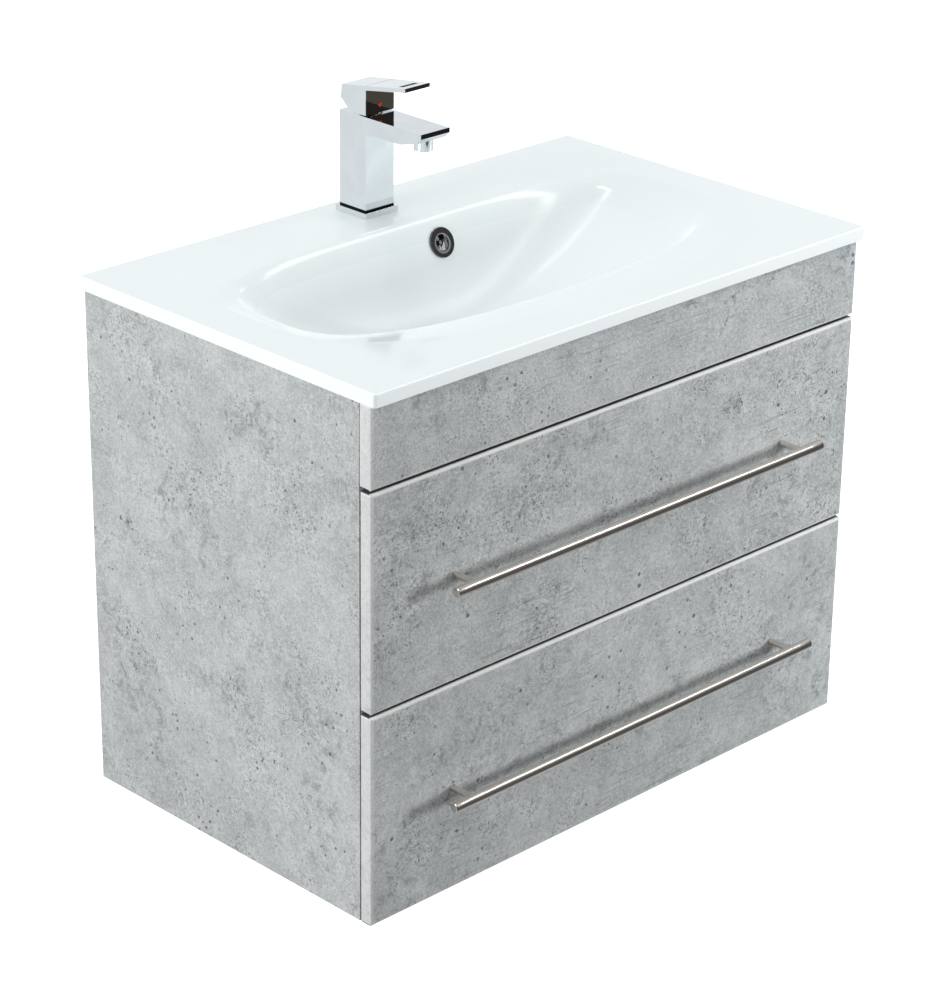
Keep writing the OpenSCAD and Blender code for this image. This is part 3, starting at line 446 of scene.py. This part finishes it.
def melamine(name, tint, shift):
    """Melamine board: a fine paper grain, slightly glossy, with brown chipboard flecks hardly showing."""
    f = Finish(name, ior=1.48)
    tint = Vector(tint)
    point = f.place(shift=shift)
    fibre = f.noise(f.place(shift=shift, scale=(140.0, 900.0, 900.0)), 1.0, 2.0)
    pore = f.noise(point, 1400.0, 2.0, 0.6)
    cloud = f.noise(point, 12.0, 2.0)
    base = f.mix(f.ramp(0.5 * fibre + 0.3 * cloud + 0.2 * pore, 0.38, 0.62), tuple(tint * 0.90), tuple(tint * 1.04))
    return f.done(Base_Color=base, Roughness=0.42 + 0.14 * pore,
                  Normal=f.bump(0.7 * pore + 0.3 * fibre, 0.00006, 0.5))


def zinc():
    """Zinc-plated steel sheet: small crystal patches of slightly different grey."""
    f = Finish("zinc_steel", metallic=0.92)
    point = f.place(shift=(0.4, 0.4, 0.8))
    flake = f.axes(f.cells(point, 260.0, "Color"))[0]
    cloud = f.noise(point, 70.0, 3.0)
    base = f.mix(0.6 * flake + 0.4 * cloud, (0.40, 0.41, 0.43), (0.66, 0.67, 0.69))
    return f.done(Base_Color=base, Roughness=0.30 + 0.16 * flake + 0.08 * cloud,
                  Normal=f.bump(cloud, 0.00005, 0.4))


def rubber():
    """Dark seal rubber: matt, with a little bloom."""
    f = Finish("seal_rubber")
    point = f.place(shift=(0.9, 0.1, 0.5))
    bloom = f.noise(point, 60.0, 3.0)
    base = f.mix(f.ramp(bloom, 0.4, 0.7), (0.010, 0.010, 0.011), (0.030, 0.030, 0.032))
    return f.done(Base_Color=base, Roughness=0.62 + 0.2 * bloom,
                  Normal=f.bump(f.noise(point, 900.0, 2.0), 0.00005, 0.6))


def plastic(name, tint, rough, shift):
    """Moulded plastic: a fine spark-eroded grain."""
    f = Finish(name, ior=1.5)
    tint = Vector(tint)
    point = f.place(shift=shift)
    grain = f.noise(point, 1500.0, 2.0, 0.6)
    cloud = f.noise(point, 45.0, 2.0)
    base = f.mix(f.ramp(cloud, 0.35, 0.65), tuple(tint * 0.92), tuple(tint))
    return f.done(Base_Color=base, Roughness=rough + 0.12 * grain, Normal=f.bump(grain, 0.00005, 0.5))


def brass():
    """Raw brass fittings: turned, a little tarnished."""
    f = Finish("brass_fitting", metallic=1.0)
    point = f.place(shift=(0.2, 0.7, 0.4))
    tarnish = f.noise(point, 80.0, 4.0, 0.65)
    rings = f.noise(f.place(shift=(0.2, 0.7, 0.4), scale=(60.0, 60.0, 2200.0)), 1.0, 2.0)
    base = f.mix(f.ramp(tarnish, 0.4, 0.75), (0.62, 0.46, 0.20), (0.40, 0.28, 0.13))
    return f.done(Base_Color=base, Roughness=0.24 + 0.2 * tarnish, Normal=f.bump(rings, 0.00005, 0.4))


# ---------------------------------------------------------------- surfaces

def piece(name, points, faces, material, body, replaced=(), sharp=SHARP_NEW):
    """Puts points and faces into a new object that rides on a body: smooth except at edges sharper than the
    angle."""
    mesh = bpy.data.meshes.new(name)
    mesh.from_pydata(points, [], faces)
    mesh.validate()
    made = bpy.data.objects.new(name, mesh)
    bpy.context.scene.collection.objects.link(made)
    mesh.materials.append(material)
    mesh.shade_smooth()
    mesh.set_sharp_from_angle(angle=sharp)
    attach(made, body)
    if replaced:
        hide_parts(*replaced)
    return made


def grid_faces(rows, columns, closed_rows=False):
    """Quads between neighbours of a grid whose columns run round and close; the first and last rows are capped,
    or joined to each other where closed_rows is true."""
    index = np.arange(rows * columns).reshape(rows, columns)
    below = np.roll(index, -1, 0) if closed_rows else index[1:]
    here = index if closed_rows else index[:-1]
    quads = np.stack([here, np.roll(here, -1, 1), np.roll(below, -1, 1), below], -1).reshape(-1, 4).tolist()
    if not closed_rows:
        quads += [index[0, ::-1].tolist(), index[-1].tolist()]
    return quads


def revolved(profile, centre, axis, beside, around=96):
    """Surface of revolution: each (height, radius) of the profile is turned round the axis through centre, at
    equal angles that start square to the axis and to the direction beside."""
    height, radius = np.array(profile, float).T
    k = np.array(axis, float) / np.linalg.norm(axis)
    side = np.cross(k, beside)
    side /= np.linalg.norm(side)
    up = np.cross(k, side)
    angle = np.linspace(0.0, 2.0 * np.pi, around, endpoint=False)
    spoke = np.cos(angle)[:, None] * side + np.sin(angle)[:, None] * up
    return np.array(centre, float) + height[:, None, None] * k + radius[:, None, None] * spoke


def turned(name, profile, centre, axis, material, body, replaced=(), around=96, on_bar=None):
    """A piece made by turning a profile round a level axis. With on_bar = (y, z, radius), the last ring is laid
    on a round bar that runs along X."""
    points = revolved(profile, centre, axis, (0.0, 0.0, 1.0), around)
    if on_bar is not None:
        bar_y, bar_z, bar_r = on_bar
        drop = np.sqrt(np.maximum(bar_r ** 2 - (points[-1, :, 2] - bar_z) ** 2, 0.0))
        points[-1, :, 1] = bar_y + drop
    faces = grid_faces(len(profile), around)
    return piece(name, points.reshape(-1, 3).tolist(), faces, material, body, replaced)


def softened(node, width, material, body, segments=2):
    """A merged copy of a CAD node, its flat faces joined and its edges rounded by a Bevel modifier."""
    work = bmesh.new()
    work.from_mesh(frame["nodes"][node].data)
    bmesh.ops.remove_doubles(work, verts=work.verts, dist=2e-6)
    bmesh.ops.dissolve_degenerate(work, dist=1e-6, edges=work.edges)
    bmesh.ops.dissolve_limit(work, angle_limit=math.radians(0.6), verts=work.verts, edges=work.edges,
                             use_dissolve_boundaries=False)
    merged = bpy.data.meshes.new("merged")
    work.to_mesh(merged)
    work.free()
    points = np.empty(3 * len(merged.vertices))
    merged.vertices.foreach_get("co", points)
    corners = np.empty(len(merged.loops), int)
    merged.loops.foreach_get("vertex_index", corners)
    starts = np.empty(len(merged.polygons), int)
    merged.polygons.foreach_get("loop_start", starts)
    bpy.data.meshes.remove(merged)
    faces = [face.tolist() for face in np.split(corners, starts[1:])]
    made = piece(node + "_shown", points.reshape(-1, 3).tolist(), faces, material, body, (node,),
                 SHARP_COPY)
    bevel = made.modifiers.new("edge", "BEVEL")
    bevel.width = width
    bevel.segments = segments
    bevel.limit_method = "ANGLE"
    bevel.angle_limit = SHARP_COPY
    bevel.harden_normals = True
    bevel.use_clamp_overlap = True
    return made


def superellipse(angle, half, front, back, n_front, n_back):
    """Distance from the centre to the outline |x/half|^n + |y/reach|^n = 1, with its own reach and exponent
    to the front and to the back."""
    n = np.where(np.sin(angle) < 0, n_front, n_back)
    reach = np.where(np.sin(angle) < 0, front, back)
    return (np.abs(np.cos(angle) / half) ** n + np.abs(np.sin(angle) / reach) ** n) ** (-1.0 / n)


def rounded_rectangle(angle, half, front, back, corner):
    """Distance from the centre to a rectangle with round corners: the nearer of its sides, and in a corner the
    far crossing of the ray with the corner's circle."""
    c, s = np.abs(np.cos(angle)), np.abs(np.sin(angle))
    reach = np.where(np.sin(angle) < 0, front, back)
    t = np.minimum(half / np.maximum(c, 1e-9), reach / np.maximum(s, 1e-9))
    cx, cy = half - corner, reach - corner
    along = c * cx + s * cy
    inside = np.maximum(along ** 2 - cx ** 2 - cy ** 2 + corner ** 2, 0.0)
    in_corner = (t * c > cx) & (t * s > cy)
    return np.where(in_corner, along + np.sqrt(inside), t)


def rounded_profile(keys, reach, steps=7):
    """Rounds a profile's corners: each key point with a reach is replaced by a parabola that starts and ends that
    far away on its two sides, or less where a side is short. keys is (count, angles, 2)."""
    out = [keys[0]]
    for before, here, after, far in zip(keys[:-2], keys[1:-1], keys[2:], reach[1:-1]):
        if far <= 0:
            out.append(here)
            continue
        ends = []
        for other in (before, after):
            arm = other - here
            size = np.linalg.norm(arm, axis=-1, keepdims=True)
            ends.append(here + arm * np.minimum(far / np.maximum(size, 1e-9), 0.48))
        for t in np.linspace(0.0, 1.0, steps):
            out.append((1 - t) ** 2 * ends[0] + 2 * t * (1 - t) * here + t ** 2 * ends[1])
    out.append(keys[-1])
    return np.array(out)


def cut(target, cutters):
    """Takes the cutters out of the target's mesh, and removes them."""
    for cutter in cutters:
        tool = target.modifiers.new("cut", "BOOLEAN")
        tool.operation, tool.solver, tool.object = "DIFFERENCE", "EXACT", cutter
    bpy.context.view_layer.update()
    graph = bpy.context.evaluated_depsgraph_get()
    mesh = bpy.data.meshes.new_from_object(target.evaluated_get(graph))
    target.modifiers.clear()
    old, target.data = target.data, mesh
    bpy.data.meshes.remove(old)
    for cutter in cutters:
        bpy.data.meshes.remove(cutter.data)


def plug_shape(centre, axis, low, high, radius):
    """A cutter: a closed round bar from low to high along the axis through centre."""
    ends = revolved(((low, radius), (high, radius)), centre, axis, (1.0, 0.0, 0.0))
    mesh = bpy.data.meshes.new("cutter")
    mesh.from_pydata(ends.reshape(-1, 3).tolist(), [], grid_faces(*ends.shape[:2]))
    made = bpy.data.objects.new("cutter", mesh)
    bpy.context.scene.collection.objects.link(made)
    return made


# ---------------------------------------------------------------- basin

DRAIN_SEAT = 0.010          # flat round the drain hole, where the flange of the waste lies
DRAIN_SOFTNESS = 0.0025     # how far the rounding of the drain hole's edge reaches
UNDER_CHAMFER = 0.0006      # chamfer of the deck's lower edge


def basin_points(s):
    """The basin as rings round the drain's axis. Each ring gives a distance and a height at every angle: down the
    dish and the bowl's wall, through the drain, round the boss, up the outside and back along the deck's edge."""
    centre_y, deck = WASTE_MIDDLE.y, DECK_HIGH.z
    half, front, back = DECK_HIGH.x, centre_y - DECK_LOW.y, DECK_HIGH.y - centre_y
    # The angles are spaced as on an ellipse of this flatness, with more of them on the deck's corners.
    flatness = 0.52
    t = np.linspace(0.0, 2.0 * np.pi, s.around, endpoint=False)
    angle = np.arctan2(flatness * np.sin(t), np.cos(t)) % (2.0 * np.pi)
    corners = []
    for reach, sign in ((back, 1.0), (front, -1.0)):
        arc = np.linspace(math.atan2(reach - s.corner, half), math.atan2(reach, half - s.corner), 12)
        corners += [sign * arc, sign * (np.pi - arc)]
    angle = np.unique(np.round(np.concatenate([angle] + corners) % (2.0 * np.pi), 6))

    def deck_ring(inset, z):
        far = rounded_rectangle(angle, half - inset, front - inset, back - inset, s.corner - inset)
        return np.stack([far, np.full_like(far, z)], -1)

    def bowl_ring(half_w, front_w, back_w, z):
        far = superellipse(angle, half_w, front_w, back_w, s.square_front, s.square_back)
        return np.stack([far, np.full_like(far, z)], -1)

    def wall_ring(share, grow):
        depth = s.dish_depth + (s.depth - s.dish_depth) * (1.0 - share ** (1.0 / s.curve))
        return bowl_ring(s.floor_half + grow + (s.lip_half - s.floor_half) * share,
                         s.floor_front + grow + (s.lip_front - s.floor_front) * share,
                         s.floor_back + grow + (s.lip_back - s.floor_back) * share, deck - depth - grow)

    def round_ring(radius, z):
        return np.stack([np.full_like(angle, radius), np.full_like(angle, z)], -1)

    top_edge = [deck_ring(s.edge - s.edge * math.sin(a), deck - s.edge + s.edge * math.cos(a))
                for a in np.linspace(0.5 * math.pi, 0.0, 7)]
    dish = bowl_ring(s.dish_half, s.dish_front, s.dish_back, deck)
    flat = [top_edge[-1] + (dish - top_edge[-1]) * share for share in (0.3, 0.7)]
    shares = np.concatenate([[1.0, 0.90], np.linspace(0.87, 0.10, 40), [0.07, 0.045, 0.025, 0.01, 0.0]])
    wall = [wall_ring(share, 0.0) for share in shares]
    floor_z, boss_z = deck - s.depth, DECK_LOW.z
    drain = [round_ring(s.drain + DRAIN_SEAT, floor_z), round_ring(s.drain, floor_z),
             round_ring(s.drain, 0.5 * (floor_z + boss_z)), round_ring(s.drain, boss_z)]
    boss = [round_ring(s.boss, boss_z), round_ring(s.boss, floor_z - s.wall)]
    under = [wall_ring(share, s.wall) for share in np.linspace(0.0, 1.0, 30)]
    under_high = under[-1].copy()
    under_high[:, 1] = deck - s.slab
    rim = [deck_ring(UNDER_CHAMFER, deck - s.slab), deck_ring(0.0, deck - s.slab + UNDER_CHAMFER)]
    keys = np.array(top_edge + flat + [dish] + wall + drain + boss + under + [under_high] + rim)
    reach = np.zeros(len(keys))
    reach[len(top_edge) + len(flat)] = s.rim_radius
    lip = len(top_edge) + len(flat) + 1
    reach[lip] = s.lip_radius
    reach[lip + len(wall) + 1] = DRAIN_SOFTNESS
    rings = rounded_profile(keys, reach)
    x = rings[..., 0] * np.cos(angle)
    y = centre_y + rings[..., 0] * np.sin(angle)
    return np.stack([x, y, rings[..., 1]], -1)


def overflow_axis(s):
    """Centre of the overflow on the bowl's back wall and the direction out of the wall there, from the slope of
    the wall's curve at that depth."""
    fall = s.depth - s.dish_depth
    share = 1.0 - (s.overflow_depth - s.dish_depth) / fall
    run = s.lip_back - s.floor_back
    y = WASTE_MIDDLE.y + s.floor_back + run * share ** s.curve
    tilt = math.atan(s.curve * share ** (s.curve - 1.0) * run / fall)
    centre = (RING_MIDDLE.x, y, DECK_HIGH.z - s.overflow_depth)
    return centre, (0.0, -math.cos(tilt), math.sin(tilt))


def carried(path, sections, level, around=40):
    """A rounded rectangle carried along a path: at each point it lies square to the path and to the direction
    level, with that point's own half depth and half width. Its outline is |a|^8 + |b|^8 = 1."""
    path = np.array(path, float)
    ahead = np.gradient(path, axis=0)
    ahead /= np.linalg.norm(ahead, axis=1, keepdims=True)
    side = np.cross(ahead, level)
    side /= np.linalg.norm(side, axis=1, keepdims=True)
    up = np.cross(side, ahead)
    angle = np.linspace(0.0, 2.0 * np.pi, around, endpoint=False)
    half_a, half_b = np.array(sections, float).T
    shape = (np.abs(np.cos(angle)) ** 8 + np.abs(np.sin(angle)) ** 8) ** (-1.0 / 8.0)
    a = (half_a[:, None] * shape * np.cos(angle))[..., None]
    b = (half_b[:, None] * shape * np.sin(angle))[..., None]
    return path[:, None, :] + a * side[:, None, :] + b * up[:, None, :]


class VANITY_OT_finishes(bpy.types.Operator):
    """Makes the finishes and gives one to every node of the frame"""
    bl_idname = "vanity.finishes"
    bl_label = "Finishes"

    def execute(self, context):
        tints = context.scene.vanity_colours
        for index, node in enumerate(("side_panel_left", "side_panel_right", "fascia_panel",
                                      "upper_drawer_front", "lower_drawer_front")):
            MADE[node] = concrete("concrete_" + node, node, (0.37 * index, 0.91 * index, 1.73 * index),
                                  not node.startswith("side"))
        MADE["carcass_board"] = melamine("carcass_board", tints.board, (0.2, 0.5, 0.1))
        MADE["drawer_board"] = melamine("drawer_board", tints.box, (0.8, 0.1, 0.6))
        MADE["satin_steel"] = satin()
        MADE["glazed_white"] = glaze()
        MADE["chrome_plate"] = chrome()
        MADE["seal_rubber"] = rubber()
        MADE["moulded_plastic"] = plastic("moulded_plastic", (0.62, 0.62, 0.60), 0.36, (0.3, 0.3, 0.9))
        MADE["index_red"] = plastic("index_red", tints.index, 0.20, (0.1, 0.8, 0.2))
        MADE["brass_fitting"] = brass()
        MADE["zinc_steel"] = zinc()
        for part in frame["record"]["subparts"]:
            material = MADE.get(part["node"]) or MADE[part["material_slot"]]
            mesh = frame["nodes"][part["node"]].data
            mesh.materials.clear()
            mesh.materials.append(material)
        return {"FINISHED"}


class VANITY_OT_basin(bpy.types.Operator):
    """Makes the basin with its overflow duct"""
    bl_idname = "vanity.basin"
    bl_label = "Basin"

    def execute(self, context):
        s = context.scene.vanity_basin
        points = basin_points(s)
        rows, columns = points.shape[:2]
        made = piece("basin_glazed", points.reshape(-1, 3).tolist(), grid_faces(rows, columns, True),
                     MADE["glazed_white"], "cabinet", ("basin",))
        centre, out = overflow_axis(s)
        tap = (TAP_MIDDLE.x, TAP_MIDDLE.y, DECK_HIGH.z)
        through, seat_reach, past = 0.020, 0.012, 0.002
        cut(made, [plug_shape(centre, out, -through, through, s.overflow_hole),
                   plug_shape(centre, out, 0.0, seat_reach, s.ring_seat),
                   plug_shape(tap, (0.0, 0.0, 1.0), -s.slab - past, past, s.tap_hole)])
        made.data.set_sharp_from_angle(angle=SHARP_BASIN)

        # The duct comes down behind the bowl, bends forwards, and runs under it to the boss of the drain.
        wide, deep, shallow = 0.017, 0.011, 0.0062
        bend_r, steps = 0.016, 9
        low_z, high_z = DECK_LOW.z + 0.007, DECK_HIGH.z - s.slab
        x, y = centre[0], WASTE_MIDDLE.y + s.lip_back + deep
        bend = np.linspace(0.0, 0.5 * np.pi, steps)
        turn = np.stack([np.full(steps, x), y - bend_r + bend_r * np.cos(bend),
                         low_z + bend_r - bend_r * np.sin(bend)], -1)
        path = np.concatenate([[[x, y, high_z], [x, y, 0.4 * high_z]], turn,
                               [[x * 0.85, WASTE_MIDDLE.y + 0.055, low_z],
                                [x * 0.55, WASTE_MIDDLE.y + 0.022, low_z]]])
        depths = np.concatenate([[deep] * 2, np.linspace(deep, shallow, steps), [shallow] * 2])
        duct = carried(path, np.stack([depths, np.full(len(path), wide)], -1), (0.94, 0.34, 0.0))
        piece("basin_overflow_duct", duct.reshape(-1, 3).tolist(), grid_faces(*duct.shape[:2]),
              MADE["glazed_white"], "cabinet")
        return {"FINISHED"}


class VANITY_OT_waste(bpy.types.Operator):
    """Makes the overflow ring and the click plug of the waste"""
    bl_idname = "vanity.waste"
    bl_label = "Overflow ring and plug"

    def execute(self, context):
        edges = context.scene.vanity_edges
        softened("overflow_ring", edges.ring, ring_chrome(), "cabinet", 3)
        softened("waste_plug", edges.plug, MADE["chrome_plate"], "waste_plug", 3)
        softened("waste_body", edges.fitting, MADE["chrome_plate"], "cabinet")
        return {"FINISHED"}


class VANITY_OT_tap(bpy.types.Operator):
    """Makes the tap's body, base plate and lever with rounded edges"""
    bl_idname = "vanity.tap"
    bl_label = "Tap"

    def execute(self, context):
        edges = context.scene.vanity_edges
        body_low, body_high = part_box("tap_body")
        lever_low, lever_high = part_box("tap_lever")
        block_front = body_high.y - (body_high.x - body_low.x)
        # Painted shade and reflections on the chrome: a black band of painted shade at the foot of the body, black
        # painted reflections on the spout's and the lever's tip faces, and a brown painted reflection on the front
        # of the lever's block.
        painted_brown_reflection, black = (0.075, 0.062, 0.050), (0.012, 0.012, 0.014)
        before = Vector((0.001, 0.001, 0.001))
        foot, skin, thin = 0.0024, 0.0006, 0.0005
        body = chrome("chrome_tap_body", (
            (body_low - before, Vector((FAR, FAR, body_low.z + foot)), black),
            (body_low - before, Vector((FAR, body_low.y + thin, FAR)), black)))
        lever = chrome("chrome_tap_lever", (
            (lever_low - before, Vector((FAR, lever_low.y + skin, FAR)), black),
            (Vector((lever_low.x + skin, block_front - skin, 0.0)),
             Vector((lever_high.x + before.x, block_front + thin, FAR)), painted_brown_reflection)))
        softened("tap_base_plate", edges.base, MADE["chrome_plate"], "cabinet", 3)
        softened("tap_body", edges.tap, body, "cabinet", 3)
        softened("tap_lever", edges.lever, lever, "tap_lever", 3)
        return {"FINISHED"}


class VANITY_OT_boards(bpy.types.Operator):
    """Makes the side panels, the fascia and the drawer fronts with rounded edges"""
    bl_idname = "vanity.boards"
    bl_label = "Fronts and panels"

    def execute(self, context):
        edges = context.scene.vanity_edges
        for node in ("side_panel_left", "side_panel_right", "fascia_panel"):
            softened(node, edges.board, MADE[node], "cabinet")
        for body in ("upper_drawer", "lower_drawer"):
            softened(body + "_front", edges.front, MADE[body + "_front"], body)
        for node in ("bottom_panel", "hanging_rail", "lower_back_rail", "front_stretcher"):
            softened(node, edges.board, MADE["carcass_board"], "cabinet", 1)
        return {"FINISHED"}


class VANITY_OT_drawers(bpy.types.Operator):
    """Makes the boards of the two drawer boxes with rounded edges"""
    bl_idname = "vanity.drawers"
    bl_label = "Drawer boxes"

    def execute(self, context):
        edges = context.scene.vanity_edges
        for part in frame["record"]["subparts"]:
            node = part["node"]
            if part["material_slot"] == "drawer_board":
                softened(node, edges.board, MADE["drawer_board"], node[:5] + "_drawer")
        return {"FINISHED"}


class VANITY_OT_handles(bpy.types.Operator):
    """Makes the handle bars and their posts"""
    bl_idname = "vanity.handles"
    bl_label = "Handles"

    def execute(self, context):
        chamfer = context.scene.vanity_edges.bar_chamfer
        steel = MADE["satin_steel"]
        for level in ("upper", "lower"):
            low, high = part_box(level + "_handle_bar")
            r, mid = 0.5 * (high.z - low.z), 0.5 * (low + high)
            span = high.x - low.x
            soft, corner = 0.0002, 0.0001
            ends = [(0.0, 0.25 * r), (0.0, r - chamfer - soft), (1.2 * corner, r - chamfer + corner),
                    (chamfer - corner, r - 1.2 * corner), (chamfer + soft, r), (0.02, r)]
            profile = ends + [(span * share, r) for share in (0.25, 0.5, 0.75)]
            profile += [(span - h, radius) for h, radius in reversed(ends)]
            turned(level + "_handle_bar_satin", profile, (low.x, mid.y, mid.z), (1.0, 0.0, 0.0), steel,
                   level + "_drawer", (level + "_handle_bar",))
            post_low, post_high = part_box(level + "_handle_posts")
            post_r = 0.5 * (post_high.z - post_low.z)
            run = post_high.y - mid.y
            foot = 0.0003
            for side, x in (("left", post_low.x + post_r), ("right", post_high.x - post_r)):
                base = [(0.0, 0.3 * post_r), (0.0, post_r - foot), (foot, post_r), (0.004, post_r),
                        (run - r - 0.002, post_r), (run - r, post_r)]
                replaced = (level + "_handle_posts",) if side == "left" else ()
                turned(level + "_handle_post_" + side, base, (x, post_high.y, mid.z), (0.0, -1.0, 0.0), steel,
                       level + "_drawer", replaced, 64, (mid.y, mid.z, r))
        return {"FINISHED"}


CAMERA_PLACE = (-2.3396, -2.5849, 1.2342)
CAMERA_TURN = (66.287, -0.693, -44.384)     # degrees about X, Y and Z
LIGHTS = (                                  # name, place, aim, width, height, colour
    ("key", (1.9, -2.7, 0.25), (0.1, -0.45, -0.2), 0.6, 0.6, (0.955, 0.99, 1.0)),
    ("strip", (1.45, -1.75, 1.45), (0.0, -0.3, 0.0), 1.7, 0.42, (1.0, 0.985, 0.96)),
    ("side", (-2.8, 0.0, 0.9), (-0.37, -0.25, -0.1), 1.4, 1.2, (1.0, 0.995, 0.98)),
    ("top", (0.3, 0.2, 2.3), (0.0, -0.25, 0.07), 0.7, 0.35, (0.98, 1.0, 1.0)))


class VANITY_OT_stage(bpy.types.Operator):
    """Makes the camera, the floor, the studio round the object and the lights"""
    bl_idname = "vanity.stage"
    bl_label = "Stage"

    def execute(self, context):
        scene = context.scene
        s = scene.vanity_stage
        scene.view_settings.view_transform = "Standard"
        camera = bpy.data.objects.new("camera", bpy.data.cameras.new("camera"))
        scene.collection.objects.link(camera)
        camera.location = CAMERA_PLACE
        camera.rotation_euler = [math.radians(a) for a in CAMERA_TURN]
        camera.data.lens = s.lens
        camera.data.sensor_width = 36.0
        camera.data.clip_end = 100.0
        scene.camera = camera

        half = 14.0
        mesh = bpy.data.meshes.new("floor")
        mesh.from_pydata([(-half, -half, s.floor), (half, -half, s.floor), (half, half, s.floor),
                          (-half, half, s.floor)], [], [(0, 1, 2, 3)])
        floor = bpy.data.objects.new("floor", mesh)
        scene.collection.objects.link(floor)
        f = Finish("floor_pale", roughness=0.9)
        cloud = f.noise(f.place(), 2.0, 2.0)
        shade = f.mix(cloud, (0.93, 0.93, 0.93), (0.96, 0.96, 0.96))
        mesh.materials.append(f.done(Base_Color=shade, Emission_Color=(1.0, 1.0, 1.0, 1.0),
                                     Emission_Strength=0.85))
        floor.visible_diffuse = False
        floor.visible_glossy = False

        world = bpy.data.worlds.new("studio")
        world.use_nodes = True
        scene.world = world
        f = Finish(None, tree=world.node_tree)
        _, y, z = f.axes(f.node("ShaderNodeTexCoord", {}, {}, "Generated"))
        above = f.ramp(z, 0.12, 0.55)
        glow = f.ramp(f.maths("ABSOLUTE", z + 0.03), 0.15, 0.07)
        behind = f.ramp(y, -0.15, 0.35)
        below = f.ramp(z, -0.55, -0.80)
        front = f.mix(above, (0.10, 0.10, 0.105), (0.52, 0.53, 0.54))
        lower = f.mix(below, front, (0.46, 0.43, 0.40))
        back = f.mix(behind, lower, (0.84, 0.86, 0.87))
        ray = f.node("ShaderNodeLightPath", {}, {}, "Is Camera Ray")
        seen = f.mix(ray, back, (1.0, 1.0, 1.0))
        around = s.world * (1.0 + s.glow * glow * behind)
        strength = ray + (1.0 - ray) * around
        shine = f.node("ShaderNodeBackground", {}, {"Color": seen, "Strength": strength})
        output = f.tree.nodes.new("ShaderNodeOutputWorld")
        f.tree.links.new(shine.socket, output.inputs[0])

        for name, place, aim, wide, high, tint in LIGHTS:
            data = bpy.data.lights.new(name, "AREA")
            data.energy, data.shape = getattr(s, name), "RECTANGLE"
            data.size, data.size_y, data.color = wide, high, tint
            lamp = bpy.data.objects.new(name, data)
            scene.collection.objects.link(lamp)
            lamp.location = place
            lamp.visible_glossy = name != "key"
            lamp.rotation_euler = (Vector(aim) - Vector(place)).to_track_quat("-Z", "Y").to_euler()
        return {"FINISHED"}


class VANITY_PT_build(bpy.types.Panel):
    """Lists the steps and the sizes"""
    bl_idname = "VANITY_PT_build"
    bl_label = "Vanity"
    bl_space_type = "VIEW_3D"
    bl_region_type = "UI"
    bl_category = "Vanity"

    def draw(self, context):
        for step in STEPS:
            self.layout.operator(step.bl_idname)
        for group in GROUPS:
            box = self.layout.box()
            for key in GROUPS[group].__annotations__:
                box.prop(getattr(context.scene, group), key)


STEPS = (VANITY_OT_stage, VANITY_OT_finishes, VANITY_OT_basin, VANITY_OT_waste, VANITY_OT_tap,
         VANITY_OT_boards, VANITY_OT_drawers, VANITY_OT_handles)
GROUPS = {"vanity_basin": VanityBasinSizes, "vanity_edges": VanityEdgeSizes,
          "vanity_colours": VanityColours, "vanity_stage": VanityStageSizes}
CLASSES = tuple(GROUPS.values()) + STEPS + (VANITY_PT_build,)


def register():
    for cls in CLASSES:
        bpy.utils.register_class(cls)
    for name, cls in GROUPS.items():
        setattr(bpy.types.Scene, name, PointerProperty(type=cls))


def unregister():
    for name in GROUPS:
        delattr(bpy.types.Scene, name)
    for cls in reversed(CLASSES):
        bpy.utils.unregister_class(cls)


def main():
    register()
    bpy.ops.vanity.stage()
    bpy.ops.vanity.finishes()
    bpy.ops.vanity.basin()
    bpy.ops.vanity.waste()
    bpy.ops.vanity.tap()
    bpy.ops.vanity.boards()
    bpy.ops.vanity.drawers()
    bpy.ops.vanity.handles()


if __name__ == "__main__":
    main()
